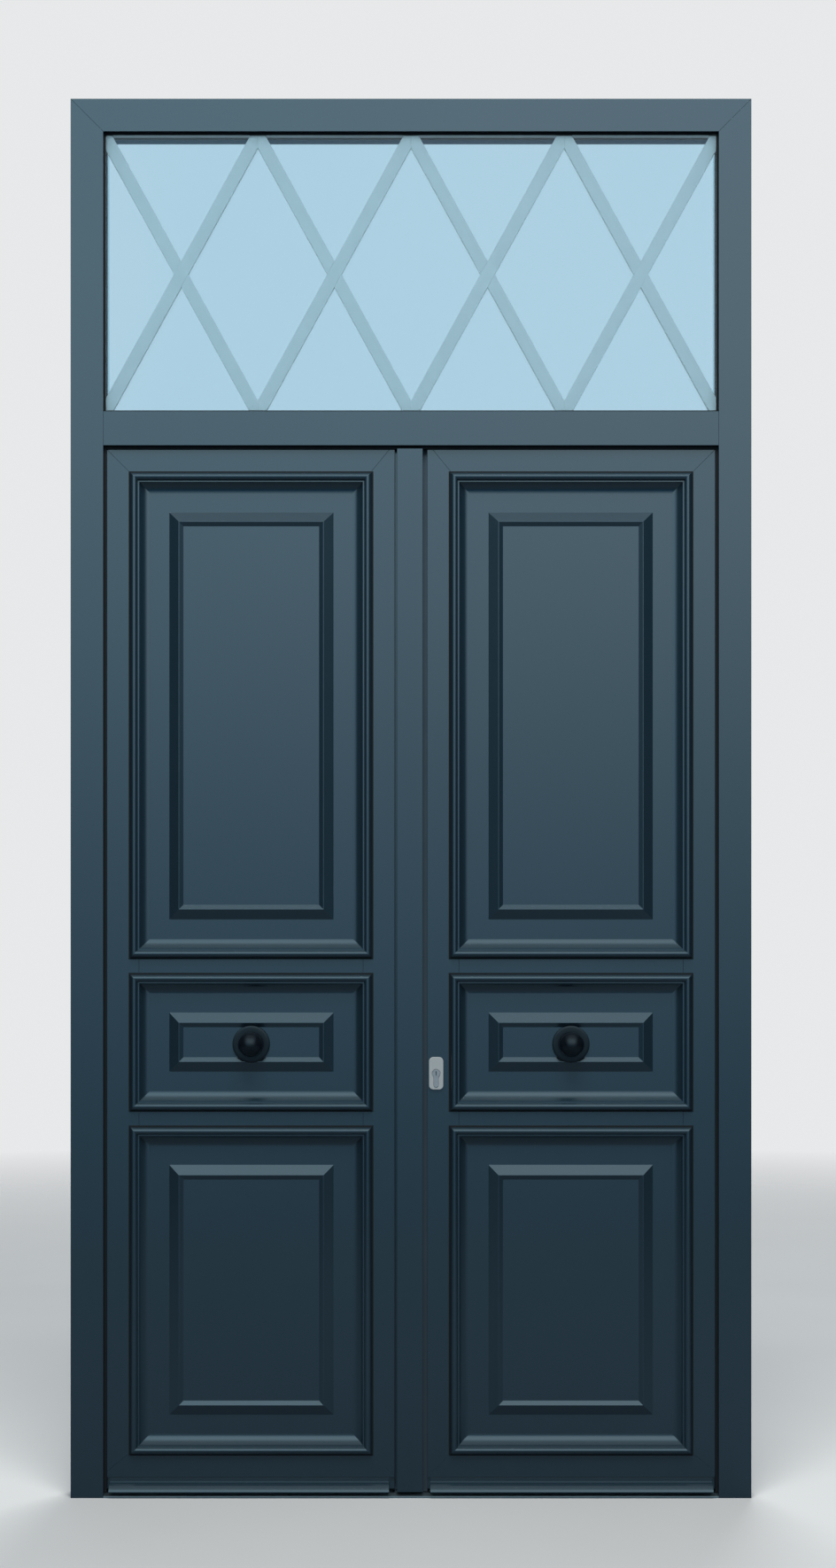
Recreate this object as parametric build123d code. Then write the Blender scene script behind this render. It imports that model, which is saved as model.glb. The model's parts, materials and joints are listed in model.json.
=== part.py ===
from build123d import *
import math
import os

# A double-leaf front door with a fanlight, in its own frame. Millimetres.
# X runs to the right as seen from outside, Y runs inwards, Z is up.
# The origin is under the middle of the threshold, at mid-depth of the frame.

# Frame
frame_width = 1460.0
frame_height = 3000.0
frame_depth = 70.0
frame_face = 70.0
lip_thickness = 9.0
frame_lip = 14.0
profile_wall = 2.0
transom_bottom = 2257.0
transom_face = 73.0
overcut = 1.0

# Leaves
face_visible = 46.0
hinge_face_visible = 47.0
leaf_recess = 13.0
leaf_lip = 15.0
leaf_overlap = 8.0
meeting_half = 35.0
leaf_bottom = 42.0
seal_showing = 6.0
thermal_break_depth = 30.0

# Heights of the mouldings' outer edges, from the floor up
lower_panel_top = 798.0
rail_visible = 29.0
middle_panel_height = 299.0

# Panels
panel_thickness = 26.0
panel_bite = 12.0
seal_thickness = 2.0
bevel_start = 86.0
bevel_width = 21.0
crest_width = 1.0
quirk_width = 9.0
crest_height = 9.0
field_height = 5.0
bead_width = 20.0

# Bolection moulding, across its section
moulding_width = 44.0
moulding_seat = 22.0
moulding_foot = 1.5
moulding_crest = 10.5
bead_start = 2.5
bead_half_width = 8.7
bead_quirk_width = 3.0
slope_foot = 1.0
slope_hollow = 1.2

# Fanlight
pane_thickness = 6.0
pane_gap = 16.0
glazing_seal = 3.0
pane_clearance = 4.0
spacer_width = 12.0
lattice_cells = 4
lattice_bar_width = 27.0
lattice_bar_depth = 10.0
glazing_bead_width = 18.0

# Threshold and the leaf's foot
threshold_height = 10.0
threshold_nose = 4.0
threshold_slope = 12.0
foot_clearance = 6.0
brush_clearance = 0.3
brush_width = 8.0
weather_bar_reach = 23.0
weather_bar_height = 19.0
weather_bar_gap = 4.0
weather_bar_swell = 5.0
weather_bar_lean = 3.0
weather_bar_lip = 3.0
bar_clearance = 3.0

# Cover strip on the passive leaf
strip_left = -30.0
strip_right = 25.0
strip_body_right = 28.0
strip_groove_depth = 27.0
strip_step_depth = 23.0
strip_top_gap = 7.0
strip_seal_reach = 2.3
strip_seal_width = 2.8
inner_seal_offset = 20.0

# Hinges
hinge_heights = (230.0, 1150.0, 2070.0)
hinge_height = 120.0
barrel_radius = 9.0
barrel_clearance = 1.0
hinge_pin_radius = 4.5
pin_running_fit = 0.05
knuckle_gap = 0.5
hinge_plate_width = 40.0
hinge_plate_thickness = 4.0
hinge_web_margin = 1.0

# Knobs
rose_seat_radius = 28.0
rose_radius = 40.0
rose_face_radius = 35.0
rose_thickness = 7.0
rose_back = 4.3
knob_radius = 26.5
knob_neck_radius = 11.0
knob_neck_reach = 14.0
knob_underside_radius = 22.5
knob_underside_reach = 21.0
knob_rim_reach = 29.0
knob_reach = 50.0
knob_dome_cuts = 3
knob_stud_radius = 5.0
knob_nut_radius = 11.0
knob_nut_height = 8.0
knob_drop = 4.0

# Lock
cylinder_x = 54.0
cylinder_z = 910.0
spindle_rise = 92.0
cylinder_radius = 8.5
cylinder_flag_width = 10.0
cylinder_drop = 24.5
plug_radius = 6.5
cylinder_clearance = 0.3
cylinder_proud = 1.0
cam_reach = 11.0
cam_width = 9.0
cam_lobe_width = 6.0
key_slot_depth = 10.0
lock_case_depth = 45.0
lock_case_thickness = 15.0
lock_case_low = 860.0
lock_case_high = 1070.0
faceplate_width = 22.0
faceplate_low = 830.0
faceplate_high = 1100.0
faceplate_thickness = 3.0
deadbolt_low = 930.0
deadbolt_high = 966.0
deadbolt_thickness = 9.0
latch_low = 1024.0
latch_high = 1042.0
latch_thickness = 10.0
bolt_length = 36.0
bolt_clearance = 0.3
bolt_slot_margin = 1.0
strike_thickness = 1.5
strike_shorter = 30.0
escutcheon_width = 31.0
escutcheon_height = 70.0
escutcheon_thickness = 4.0
escutcheon_bevel = 1.3
inner_plate_width = 32.0
inner_plate_low = 872.0
inner_plate_high = 1040.0
inner_plate_thickness = 8.0
spindle_side = 8.0
lever_hub_radius = 9.0
lever_reach = 38.0
lever_length = 125.0
lever_grip_height = 20.0
lever_grip_thickness = 12.0
lever_grip_rounding = 4.2
lever_tip_length = 18.0
lever_tip_inset = 2.0
lever_tip_rounding = 3.6
key_slot_width = 2.4
key_slot_height = 9.0

# Flush bolts in the cover strip
rod_radius = 5.0
rod_clearance = 0.3
rod_length = 240.0
rod_throw = 13.0
rod_x = -3.0
guide_height = 30.0
thumb_height = 24.0
thumb_reach = 2.0
thumb_clearance = 1.0
rod_end_gap = 1.0

# Fixing holes through the jambs
fixing_hole_radius = 4.0
fixing_holes = 5
fixing_first = 250.0
fixing_spacing = 625.0

cleat_arm = 45.0
cleat_clearance = 0.2

# Places worked out from the sizes above
half_width = frame_width / 2
front_y = -frame_depth / 2
back_y = frame_depth / 2
lip_back_y = front_y + lip_thickness
opening_half = half_width - frame_face
rebate_half = opening_half + frame_lip
head_bottom = frame_height - frame_face
transom_top = transom_bottom + transom_face

leaf_front_y = front_y + leaf_recess
leaf_lip_back_y = leaf_front_y + lip_thickness
leaf_edge = opening_half + leaf_overlap
leaf_top = transom_bottom + leaf_overlap
panel_front_y = leaf_lip_back_y + seal_thickness
panel_back_y = panel_front_y + panel_thickness
bead_front_y = panel_back_y + seal_thickness
break_back_y = leaf_lip_back_y + thermal_break_depth

moulding_inner_x = meeting_half + face_visible
moulding_outer_x = opening_half - seal_showing - hinge_face_visible
panel_middle_x = (moulding_inner_x + moulding_outer_x) / 2
lower_panel_bottom = leaf_bottom + face_visible
middle_panel_bottom = lower_panel_top + rail_visible
middle_panel_top = middle_panel_bottom + middle_panel_height
upper_panel_bottom = middle_panel_top + rail_visible
upper_panel_top = transom_bottom - seal_showing - hinge_face_visible
panel_rows = {
    "upper": (upper_panel_bottom, upper_panel_top),
    "middle": (middle_panel_bottom, middle_panel_top),
    "lower": (lower_panel_bottom, lower_panel_top),
}

hinge_x = (rebate_half + leaf_edge) / 2
hinge_y = back_y + barrel_radius + barrel_clearance
foot_top = leaf_bottom
foot_bottom = threshold_height + foot_clearance
lock_y = (leaf_lip_back_y + break_back_y) / 2
spindle_z = cylinder_z + spindle_rise
far = 2 * frame_height


# Shapes that several pieces share

def rectangle(low_x, high_x, low_y, high_y):
    middle = Pos((low_x + high_x) / 2, (low_y + high_y) / 2)
    return middle * Rectangle(high_x - low_x, high_y - low_y)


def block(low_x, high_x, low_y, high_y, low_z, high_z):
    return Pos(0, 0, low_z) * extrude(rectangle(low_x, high_x, low_y, high_y), high_z - low_z)


def beam_up(section, low, high):
    """A section drawn in X and Y, run along Z."""
    return Pos(0, 0, low) * extrude(section, high - low)


def beam_across(section, left, right):
    """A section drawn with Z first and Y second, run along X."""
    return Pos(right, 0, 0) * Rot(0, -90, 0) * extrude(section, right - left)


def upright_plate(points, low_y, high_y):
    """A flat outline in X and Z, given a thickness along Y."""
    outline = Plane.XZ * make_face(Polyline(*points, close=True))
    return Pos(0, high_y, 0) * extrude(outline, high_y - low_y)


def rod_along_y(radius, x, z, low_y, high_y):
    return Pos(x, high_y, z) * Rot(90, 0, 0) * extrude(Circle(radius), high_y - low_y)


def rod_along_x(radius, y, z, low_x, high_x):
    return Pos(low_x, y, z) * Rot(0, 90, 0) * extrude(Circle(radius), high_x - low_x)


def rod_up(radius, x, y, low_z, high_z):
    return Pos(x, y, low_z) * extrude(Circle(radius), high_z - low_z)


def turned_outwards(profile, x, y, z):
    """A revolved piece whose axis points outwards, from a profile of radius and reach."""
    return Pos(x, y, z) * Rot(90, 0, 0) * revolve(profile, Axis.Z)


def other_side(shape):
    return mirror(shape, about=Plane.YZ)


def solids_of(*shapes):
    return [solid for shape in shapes for solid in shape.solids()]


def profile_section(front, deep, low_y, middle_y, high_y, break_y):
    """A hollow drawn profile: a wide front plate, and a deeper body with two chambers."""
    outline = rectangle(*front, low_y, middle_y) + rectangle(*deep, middle_y, high_y)
    front_void = rectangle(
        front[0] + profile_wall, front[1] - profile_wall, low_y + profile_wall, middle_y - profile_wall
    )
    chamber = (deep[0] + profile_wall, deep[1] - profile_wall)
    break_void = rectangle(*chamber, middle_y, break_y)
    back_void = rectangle(*chamber, break_y + profile_wall, high_y - profile_wall)
    return outline - front_void - break_void - back_void


def ring_side_regions(left, right, bottom, top, width):
    """The four mitred regions of a rectangular ring, in X and Z."""
    inner_left = left + width
    inner_right = right - width
    inner_bottom = bottom + width
    inner_top = top - width
    return {
        "left": [(left, bottom), (left, top), (inner_left, inner_top), (inner_left, inner_bottom)],
        "right": [(right, bottom), (right, top), (inner_right, inner_top), (inner_right, inner_bottom)],
        "bottom": [(left, bottom), (right, bottom), (inner_right, inner_bottom), (inner_left, inner_bottom)],
        "top": [(left, top), (right, top), (inner_right, inner_top), (inner_left, inner_top)],
    }


def mitred_ring(section, left, right, bottom, top, width):
    """Four lengths of one section with mitred ends.

    The section is a function of the ring's edge and of the way inwards, 1 or -1.
    """
    regions = ring_side_regions(left, right, bottom, top, width)
    lengths = {
        "left": beam_up(section(left, 1), bottom, top),
        "right": beam_up(section(right, -1), bottom, top),
        "bottom": beam_across(section(bottom, 1), left, right),
        "top": beam_across(section(top, -1), left, right),
    }
    pieces = []
    for side, length in lengths.items():
        cutter = upright_plate(regions[side], -far, far)
        pieces += solids_of(length & cutter)
    return pieces


def strip_section(low_y, high_y, start, end):
    """A plain strip that lies between two offsets from a ring's edge."""
    def section(edge, inwards):
        first, second = sorted((edge + inwards * start, edge + inwards * end))
        return rectangle(first, second, low_y, high_y)
    return section


def corner_cleat(x, z, into_x, into_z, depth_x, depth_z, low_y, high_y):
    """An L-shaped bracket inside two chambers that meet at a mitre."""
    gap = profile_wall + cleat_clearance
    start_x = x + into_x * gap
    start_z = z + into_z * gap
    inner_x = x + into_x * (depth_x - gap)
    inner_z = z + into_z * (depth_z - gap)
    end_x = inner_x + into_x * cleat_arm
    end_z = inner_z + into_z * cleat_arm
    points = [
        (start_x, start_z), (end_x, start_z), (end_x, inner_z),
        (inner_x, inner_z), (inner_x, end_z), (start_x, end_z),
    ]
    return upright_plate(points, low_y + cleat_clearance, high_y - cleat_clearance)


# Frame

frame_break_y = lip_back_y + thermal_break_depth


def frame_section(edge, outwards):
    """A jamb or head section, from the opening's edge out to the wall."""
    front = sorted((edge, edge + outwards * frame_face))
    deep = sorted((edge + outwards * frame_lip, edge + outwards * frame_face))
    return profile_section(front, deep, front_y, lip_back_y, back_y, frame_break_y)


def fixing_hole_heights():
    return [fixing_first + number * fixing_spacing for number in range(fixing_holes)]


def frame_jamb():
    """The right jamb, mitred at the head and drilled for the wall fixings."""
    jamb = beam_up(frame_section(opening_half, 1), 0, frame_height)
    mitre = [
        (opening_half, 0), (half_width, 0), (half_width, frame_height), (opening_half, head_bottom),
    ]
    jamb = jamb & upright_plate(mitre, -far, far)
    for height in fixing_hole_heights():
        jamb -= rod_along_x(fixing_hole_radius, 0, height, opening_half, half_width + profile_wall)
    return jamb


def frame_cleat():
    return corner_cleat(
        half_width, frame_height, -1, -1,
        frame_face - frame_lip, frame_face - frame_lip, lip_back_y, frame_break_y,
    )


def frame_head():
    head = beam_across(frame_section(head_bottom, 1), -half_width, half_width)
    mitre = [
        (-opening_half, head_bottom), (opening_half, head_bottom),
        (half_width, frame_height), (-half_width, frame_height),
    ]
    return head & upright_plate(mitre, -far, far)


def bolt_hole_up(low, high):
    return rod_up(rod_radius + rod_clearance, rod_x, rod_y, low, high)


rod_y = (break_back_y + profile_wall + back_y) / 2


def frame_transom():
    """The rail between the doorway and the fanlight, notched over the jambs' rebates."""
    front = (transom_bottom, transom_top)
    deep = (transom_bottom + frame_lip, transom_top - frame_lip)
    section = profile_section(front, deep, front_y, lip_back_y, back_y, frame_break_y)
    transom = beam_across(section, -rebate_half, rebate_half)
    for side in (-1, 1):
        edges = sorted((side * opening_half, side * rebate_half))
        transom -= block(*edges, front_y, lip_back_y, transom_bottom, transom_top)
    return transom - bolt_hole_up(transom_bottom, transom_bottom + frame_lip + 2 * profile_wall)


def threshold():
    """A low sill with a sloped nose, notched round the jambs' front lips."""
    outline = [
        (0, front_y), (threshold_nose, front_y), (threshold_height, front_y + threshold_slope),
        (threshold_height, back_y - profile_wall), (threshold_height - profile_wall, back_y), (0, back_y),
    ]
    section = make_face(Polyline(*outline, close=True))
    sill = beam_across(section, -rebate_half, rebate_half)
    for side in (-1, 1):
        edges = sorted((side * opening_half, side * rebate_half))
        sill -= block(*edges, front_y, lip_back_y, 0, threshold_height)
    return sill - bolt_hole_up(-overcut, threshold_height + overcut)


def leaf_seals_on_frame():
    """The black seal behind the frame's lip, up both sides and across the top."""
    low_y = lip_back_y
    high_y = leaf_front_y - brush_clearance
    showing = opening_half - seal_showing
    hidden = opening_half + seal_showing
    top_low = transom_bottom - seal_showing
    top_high = transom_bottom + seal_showing
    right = block(showing, hidden, low_y, high_y, threshold_height, top_low)
    top = block(-hidden, hidden, low_y, high_y, top_low, top_high)
    return solids_of(right, other_side(right), top)


# Fanlight

pane_left = -(rebate_half - pane_clearance)
pane_right = rebate_half - pane_clearance
pane_bottom = transom_top - frame_lip + pane_clearance
pane_top = head_bottom + frame_lip - pane_clearance
outer_pane_y = lip_back_y + glazing_seal
gap_y = outer_pane_y + pane_thickness
inner_pane_y = gap_y + pane_gap
fanlight_bead_y = inner_pane_y + pane_thickness + glazing_seal


def fanlight_pane(low_y):
    return block(pane_left, pane_right, low_y, low_y + pane_thickness, pane_bottom, pane_top)


def fanlight_spacer():
    outer = block(pane_left, pane_right, gap_y, inner_pane_y, pane_bottom, pane_top)
    inner = block(
        pane_left + spacer_width, pane_right - spacer_width, gap_y, inner_pane_y,
        pane_bottom + spacer_width, pane_top - spacer_width,
    )
    return outer - inner


def lattice_bars(direction):
    """One slanting bar in each cell, corner to corner, halved where the other family crosses."""
    low_z = pane_bottom + spacer_width
    high_z = pane_top - spacer_width
    cell_width = 2 * opening_half / lattice_cells
    cell_height = head_bottom - transom_top
    slant = math.atan2(cell_height, cell_width)
    half_bar = lattice_bar_width / 2 / math.sin(slant)
    middle_y = (gap_y + inner_pane_y) / 2
    low_y = middle_y - lattice_bar_depth / 2
    high_y = middle_y + lattice_bar_depth / 2
    limit = pane_right - spacer_width
    bars = []
    for cell in range(lattice_cells):
        left = -opening_half + cell * cell_width
        right = left + cell_width
        start, end = (left, right) if direction > 0 else (right, left)
        # A bar runs on past its corners, and its cell trims it
        extra = cell_height
        lean = direction * cell_width / cell_height * extra
        points = [
            (start - lean - half_bar, transom_top - extra), (start - lean + half_bar, transom_top - extra),
            (end + lean + half_bar, head_bottom + extra), (end + lean - half_bar, head_bottom + extra),
        ]
        cell_box = block(max(left, -limit), min(right, limit), low_y, high_y, low_z, high_z)
        bar = upright_plate(points, low_y, high_y) & cell_box
        crossing = [(-(p[0] - (left + right) / 2) + (left + right) / 2, p[1]) for p in points]
        half = (middle_y, high_y) if direction > 0 else (low_y, middle_y)
        middle_z = (transom_top + head_bottom) / 2
        crossing_box = block(
            (left + right) / 2 - cell_width / 4, (left + right) / 2 + cell_width / 4, *half,
            middle_z - cell_height / 4, middle_z + cell_height / 4,
        )
        bar -= upright_plate(crossing, *half) & crossing_box
        bars += solids_of(bar)
    return bars


def fanlight_seals():
    """Black seals outside and inside the sealed glass unit."""
    ring = (-rebate_half, rebate_half, transom_top - frame_lip, head_bottom + frame_lip)
    outside = mitred_ring(
        strip_section(lip_back_y, outer_pane_y, pane_clearance, frame_lip + pane_clearance),
        *ring, frame_lip + pane_clearance,
    )
    inside = mitred_ring(
        strip_section(
            inner_pane_y + pane_thickness, fanlight_bead_y, pane_clearance, frame_lip + pane_clearance,
        ),
        *ring, frame_lip + pane_clearance,
    )
    return outside + inside


def glazing_bead(width, low_y, high_y):
    """A hollow clip-in bead whose inner corner is bevelled."""
    def section(edge, inwards):
        first, second = sorted((edge, edge + inwards * width))
        outline = rectangle(first, second, low_y, high_y)
        near = profile_wall / 2
        eased = [v for v in outline.vertices() if abs(v.Y - high_y) < near < abs(v.X - edge)]
        outline = chamfer(eased, profile_wall)
        void = rectangle(
            first + profile_wall, second - profile_wall, low_y + profile_wall, high_y - profile_wall
        )
        return outline - void
    return section


def fanlight_beads():
    return mitred_ring(
        glazing_bead(glazing_bead_width, fanlight_bead_y, back_y),
        -rebate_half, rebate_half, transom_top - frame_lip, head_bottom + frame_lip, glazing_bead_width,
    )


# Leaves, all drawn as the right leaf

hinge_stile_width = leaf_edge - moulding_outer_x + moulding_seat
meeting_stile_width = face_visible + moulding_seat
top_rail_width = leaf_top - upper_panel_top + moulding_seat
bottom_rail_width = face_visible + moulding_seat


def leaf_section(edge, inwards, width):
    front = sorted((edge, edge + inwards * width))
    deep = sorted((edge, edge + inwards * (width - leaf_lip)))
    return profile_section(front, deep, leaf_front_y, leaf_lip_back_y, back_y, break_back_y)


def leaf_corners():
    """Outer and inner corners of the leaf's front plates, in X and Z."""
    outer = {
        "meeting_bottom": (meeting_half, leaf_bottom), "meeting_top": (meeting_half, leaf_top),
        "hinge_top": (leaf_edge, leaf_top), "hinge_bottom": (leaf_edge, leaf_bottom),
    }
    low_x = meeting_half + meeting_stile_width
    high_x = leaf_edge - hinge_stile_width
    low_z = leaf_bottom + bottom_rail_width
    high_z = leaf_top - top_rail_width
    inner = {
        "meeting_bottom": (low_x, low_z), "meeting_top": (low_x, high_z),
        "hinge_top": (high_x, high_z), "hinge_bottom": (high_x, low_z),
    }
    return outer, inner


def mitred_member(beam, first, second):
    outer, inner = leaf_corners()
    region = [outer[first], outer[second], inner[second], inner[first]]
    return beam & upright_plate(region, -far, far)


def leaf_cleat(corner):
    outer, _ = leaf_corners()
    x, z = outer[corner]
    into_x = 1 if corner.startswith("meeting") else -1
    into_z = 1 if corner.endswith("bottom") else -1
    width_x = meeting_stile_width if into_x > 0 else hinge_stile_width
    width_z = bottom_rail_width if into_z > 0 else top_rail_width
    # Where the two members differ in width, the cleat fits the narrower one
    depth = min(width_x, width_z) - leaf_lip
    return corner_cleat(x, z, into_x, into_z, depth, depth, leaf_lip_back_y, break_back_y)


def hinge_stile():
    beam = beam_up(leaf_section(leaf_edge, -1, hinge_stile_width), leaf_bottom, leaf_top)
    return mitred_member(beam, "hinge_bottom", "hinge_top")


def meeting_stile():
    beam = beam_up(leaf_section(meeting_half, 1, meeting_stile_width), leaf_bottom, leaf_top)
    return mitred_member(beam, "meeting_bottom", "meeting_top")


def top_rail():
    beam = beam_across(leaf_section(leaf_top, -1, top_rail_width), meeting_half, leaf_edge)
    return mitred_member(beam, "meeting_top", "hinge_top")


def bottom_rail():
    beam = beam_across(leaf_section(leaf_bottom, 1, bottom_rail_width), meeting_half, leaf_edge)
    return mitred_member(beam, "meeting_bottom", "hinge_bottom")


def mid_rail(panel_below_top):
    """A rail between two panels, with a lip over each and its ends notched over the stiles' lips."""
    low = panel_below_top - moulding_seat
    high = panel_below_top + rail_visible + moulding_seat
    section = profile_section(
        (low, high), (low + leaf_lip, high - leaf_lip), leaf_front_y, leaf_lip_back_y, back_y, break_back_y,
    )
    left = meeting_half + meeting_stile_width
    right = leaf_edge - hinge_stile_width
    rail = beam_across(section, left - leaf_lip, right + leaf_lip)
    for edges in ((left - leaf_lip, left), (right, right + leaf_lip)):
        rail -= block(*edges, leaf_front_y, leaf_lip_back_y, low, high)
    return rail


def mid_rails():
    return solids_of(mid_rail(lower_panel_top), mid_rail(middle_panel_top))


def inset_sheet(bounds, inset, y):
    """A rectangle that lies in from a moulding's outer edge, as an outline in X and Z."""
    left, right, bottom, top = bounds
    corners = [
        (left + inset, y, bottom + inset), (right - inset, y, bottom + inset),
        (right - inset, y, top - inset), (left + inset, y, top - inset),
    ]
    return make_face(Polyline(*corners, close=True))


def moulding_bounds(row):
    bottom, top = panel_rows[row]
    return moulding_inner_x, moulding_outer_x, bottom, top


def leaf_panel(row):
    """A bonded panel whose outer skin rises in a bevel to a crest, and dips to a flat field."""
    left, right, bottom, top = bounds = moulding_bounds(row)
    edge = moulding_seat - panel_bite
    panel = block(left + edge, right - edge, panel_front_y, panel_back_y, bottom + edge, top - edge)
    crest_y = panel_front_y - crest_height
    field_y = panel_front_y - field_height
    crest_inset = bevel_start + bevel_width
    field_inset = crest_inset + crest_width + quirk_width
    raised = loft(
        [inset_sheet(bounds, bevel_start, panel_front_y), inset_sheet(bounds, crest_inset, crest_y)],
        ruled=True,
    )
    dip = loft(
        [inset_sheet(bounds, crest_inset + crest_width, crest_y), inset_sheet(bounds, field_inset, field_y)],
        ruled=True,
    )
    return panel + raised - dip


def moulding_section(edge, inwards):
    """The bolection moulding: a thin foot, a round bead, a quirk, and a hollow slope on to the panel."""
    def at(offset, rise):
        return edge + inwards * offset, leaf_front_y - rise

    sunk = leaf_front_y - panel_front_y
    slope_end_rise = sunk + slope_foot
    bead_middle = bead_start + bead_half_width
    bead_end = bead_middle + bead_half_width
    slope_start = bead_end + bead_quirk_width
    slope_middle = (slope_start + moulding_width) / 2
    slope_middle_rise = (moulding_foot + slope_end_rise) / 2 - slope_hollow
    outline = [
        Line(at(0, 0), at(0, moulding_foot)),
        Line(at(0, moulding_foot), at(bead_start, moulding_foot)),
        ThreePointArc(
            at(bead_start, moulding_foot), at(bead_middle, moulding_crest), at(bead_end, moulding_foot),
        ),
        Line(at(bead_end, moulding_foot), at(slope_start, moulding_foot)),
        ThreePointArc(
            at(slope_start, moulding_foot), at(slope_middle, slope_middle_rise),
            at(moulding_width, slope_end_rise),
        ),
        Line(at(moulding_width, slope_end_rise), at(moulding_width, sunk)),
        Line(at(moulding_width, sunk), at(moulding_seat, sunk)),
        Line(at(moulding_seat, sunk), at(moulding_seat, 0)),
        Line(at(moulding_seat, 0), at(0, 0)),
    ]
    return make_face(outline)


def mouldings():
    pieces = []
    for row in panel_rows:
        pieces += mitred_ring(moulding_section, *moulding_bounds(row), moulding_width)
    return pieces


def panel_beads():
    """The clip-in beads that hold the panels from inside, cut square against each other's mitres."""
    pieces = []
    start = moulding_seat - leaf_lip
    for row in panel_rows:
        left, right, bottom, top = moulding_bounds(row)
        pieces += mitred_ring(
            glazing_bead(bead_width, bead_front_y, back_y),
            left + start, right - start, bottom + start, top - start, bead_width,
        )
    return pieces


def panel_seals():
    """Seals between the lips and the panels, and between the panels and the inside beads."""
    pieces = []
    start = moulding_seat - panel_bite
    for row in panel_rows:
        left, right, bottom, top = moulding_bounds(row)
        ring = (left + start, right - start, bottom + start, top - start)
        for low_y in (leaf_lip_back_y, panel_back_y):
            pieces += mitred_ring(
                strip_section(low_y, low_y + seal_thickness, 0, panel_bite), *ring, panel_bite,
            )
    return pieces


foot_front_y = leaf_front_y + weather_bar_gap


def bottom_profile():
    """The hollow profile screwed under the leaf, with a slot for the brush."""
    outline = rectangle(foot_bottom, foot_top, foot_front_y, back_y - profile_wall)
    void_low = foot_bottom + 2 * profile_wall
    voids = rectangle(
        void_low, foot_top - profile_wall, foot_front_y + profile_wall, back_y - 2 * profile_wall,
    )
    brush_slot = rectangle(foot_bottom, foot_bottom + profile_wall, -brush_width / 2, brush_width / 2)
    return beam_across(outline - voids - brush_slot, meeting_half, leaf_edge)


def foot_brush():
    low = threshold_height + brush_clearance
    return block(
        meeting_half, leaf_edge, -brush_width / 2, brush_width / 2, low, foot_bottom + profile_wall,
    )


def weather_bar(start_x):
    """A drip bar: a flange against the leaf's foot, and a nose with a sloped top and a drip groove."""
    low = threshold_height + bar_clearance
    top = low + weather_bar_height
    tip_y = foot_front_y - profile_wall - weather_bar_reach
    back = foot_front_y
    outline = [
        Line((low, back), (foot_top - profile_wall, back)),
        Line((foot_top - profile_wall, back), (foot_top - profile_wall, back - profile_wall)),
        Line((foot_top - profile_wall, back - profile_wall), (top, back - profile_wall)),
        ThreePointArc(
            (top, back - profile_wall),
            ((top + low) / 2 + weather_bar_swell, (back + tip_y) / 2 - weather_bar_lean),
            (low + weather_bar_lip, tip_y),
        ),
        Line((low + weather_bar_lip, tip_y), (low, tip_y)),
        Line((low, tip_y), (low, tip_y + profile_wall)),
        Line((low, tip_y + profile_wall), (low + profile_wall, tip_y + 2 * profile_wall)),
        Line((low + profile_wall, tip_y + 2 * profile_wall), (low + profile_wall, back - 3 * profile_wall)),
        Line((low + profile_wall, back - 3 * profile_wall), (low, back - 3 * profile_wall)),
        Line((low, back - 3 * profile_wall), (low, back)),
    ]
    return beam_across(make_face(outline), start_x, opening_half - 2 * seal_showing)


# Hinges

def hinge_plate(low_x, high_x, low_z, high_z):
    return block(low_x, high_x, back_y, back_y + hinge_plate_thickness, low_z, high_z)


def knuckle(low_z, high_z, web_end):
    """A barrel knuckle with the web that joins it to its plate."""
    barrel = rod_up(barrel_radius, hinge_x, hinge_y, low_z, high_z)
    web_x = sorted((hinge_x, web_end))
    web = block(*web_x, back_y + barrel_clearance, hinge_y - barrel_clearance, low_z, high_z)
    return barrel + web


def hinge_leaf_part(base):
    """The upper half: a plate on the leaf, and a knuckle that turns on the pin."""
    low = base + hinge_height / 2 + knuckle_gap
    high = base + hinge_height
    near_x = hinge_x - barrel_radius
    plate = hinge_plate(near_x - hinge_plate_width, near_x - hinge_web_margin, base, high)
    part = plate + knuckle(low, high, near_x - hinge_plate_thickness)
    return part - rod_up(hinge_pin_radius + pin_running_fit, hinge_x, hinge_y, low, high)


def hinge_frame_part(base):
    """The lower half: a plate on the frame, and a knuckle that holds the pin."""
    middle = base + hinge_height / 2
    near_x = hinge_x + barrel_radius
    plate = hinge_plate(near_x + hinge_web_margin, near_x + hinge_plate_width, base, base + hinge_height)
    part = plate + knuckle(base, middle, near_x + hinge_plate_thickness)
    return part - rod_up(hinge_pin_radius, hinge_x, hinge_y, base, middle)


def hinge_pin(base):
    return rod_up(hinge_pin_radius, hinge_x, hinge_y, base, base + hinge_height)


# Knobs

knob_z = (middle_panel_bottom + middle_panel_top) / 2 - knob_drop
knob_seat_y = panel_front_y - field_height


def knob_rose():
    """A bevelled round plate on a smaller seat, which clears the panel's crest, bored for the neck."""
    outline = [
        (knob_neck_radius, 0, 0), (rose_seat_radius, 0, 0), (rose_seat_radius, 0, rose_back),
        (rose_radius, 0, rose_back), (rose_face_radius, 0, rose_thickness),
        (knob_neck_radius, 0, rose_thickness),
    ]
    profile = make_face(Polyline(*outline, close=True))
    return turned_outwards(profile, panel_middle_x, knob_seat_y, knob_z)


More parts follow.
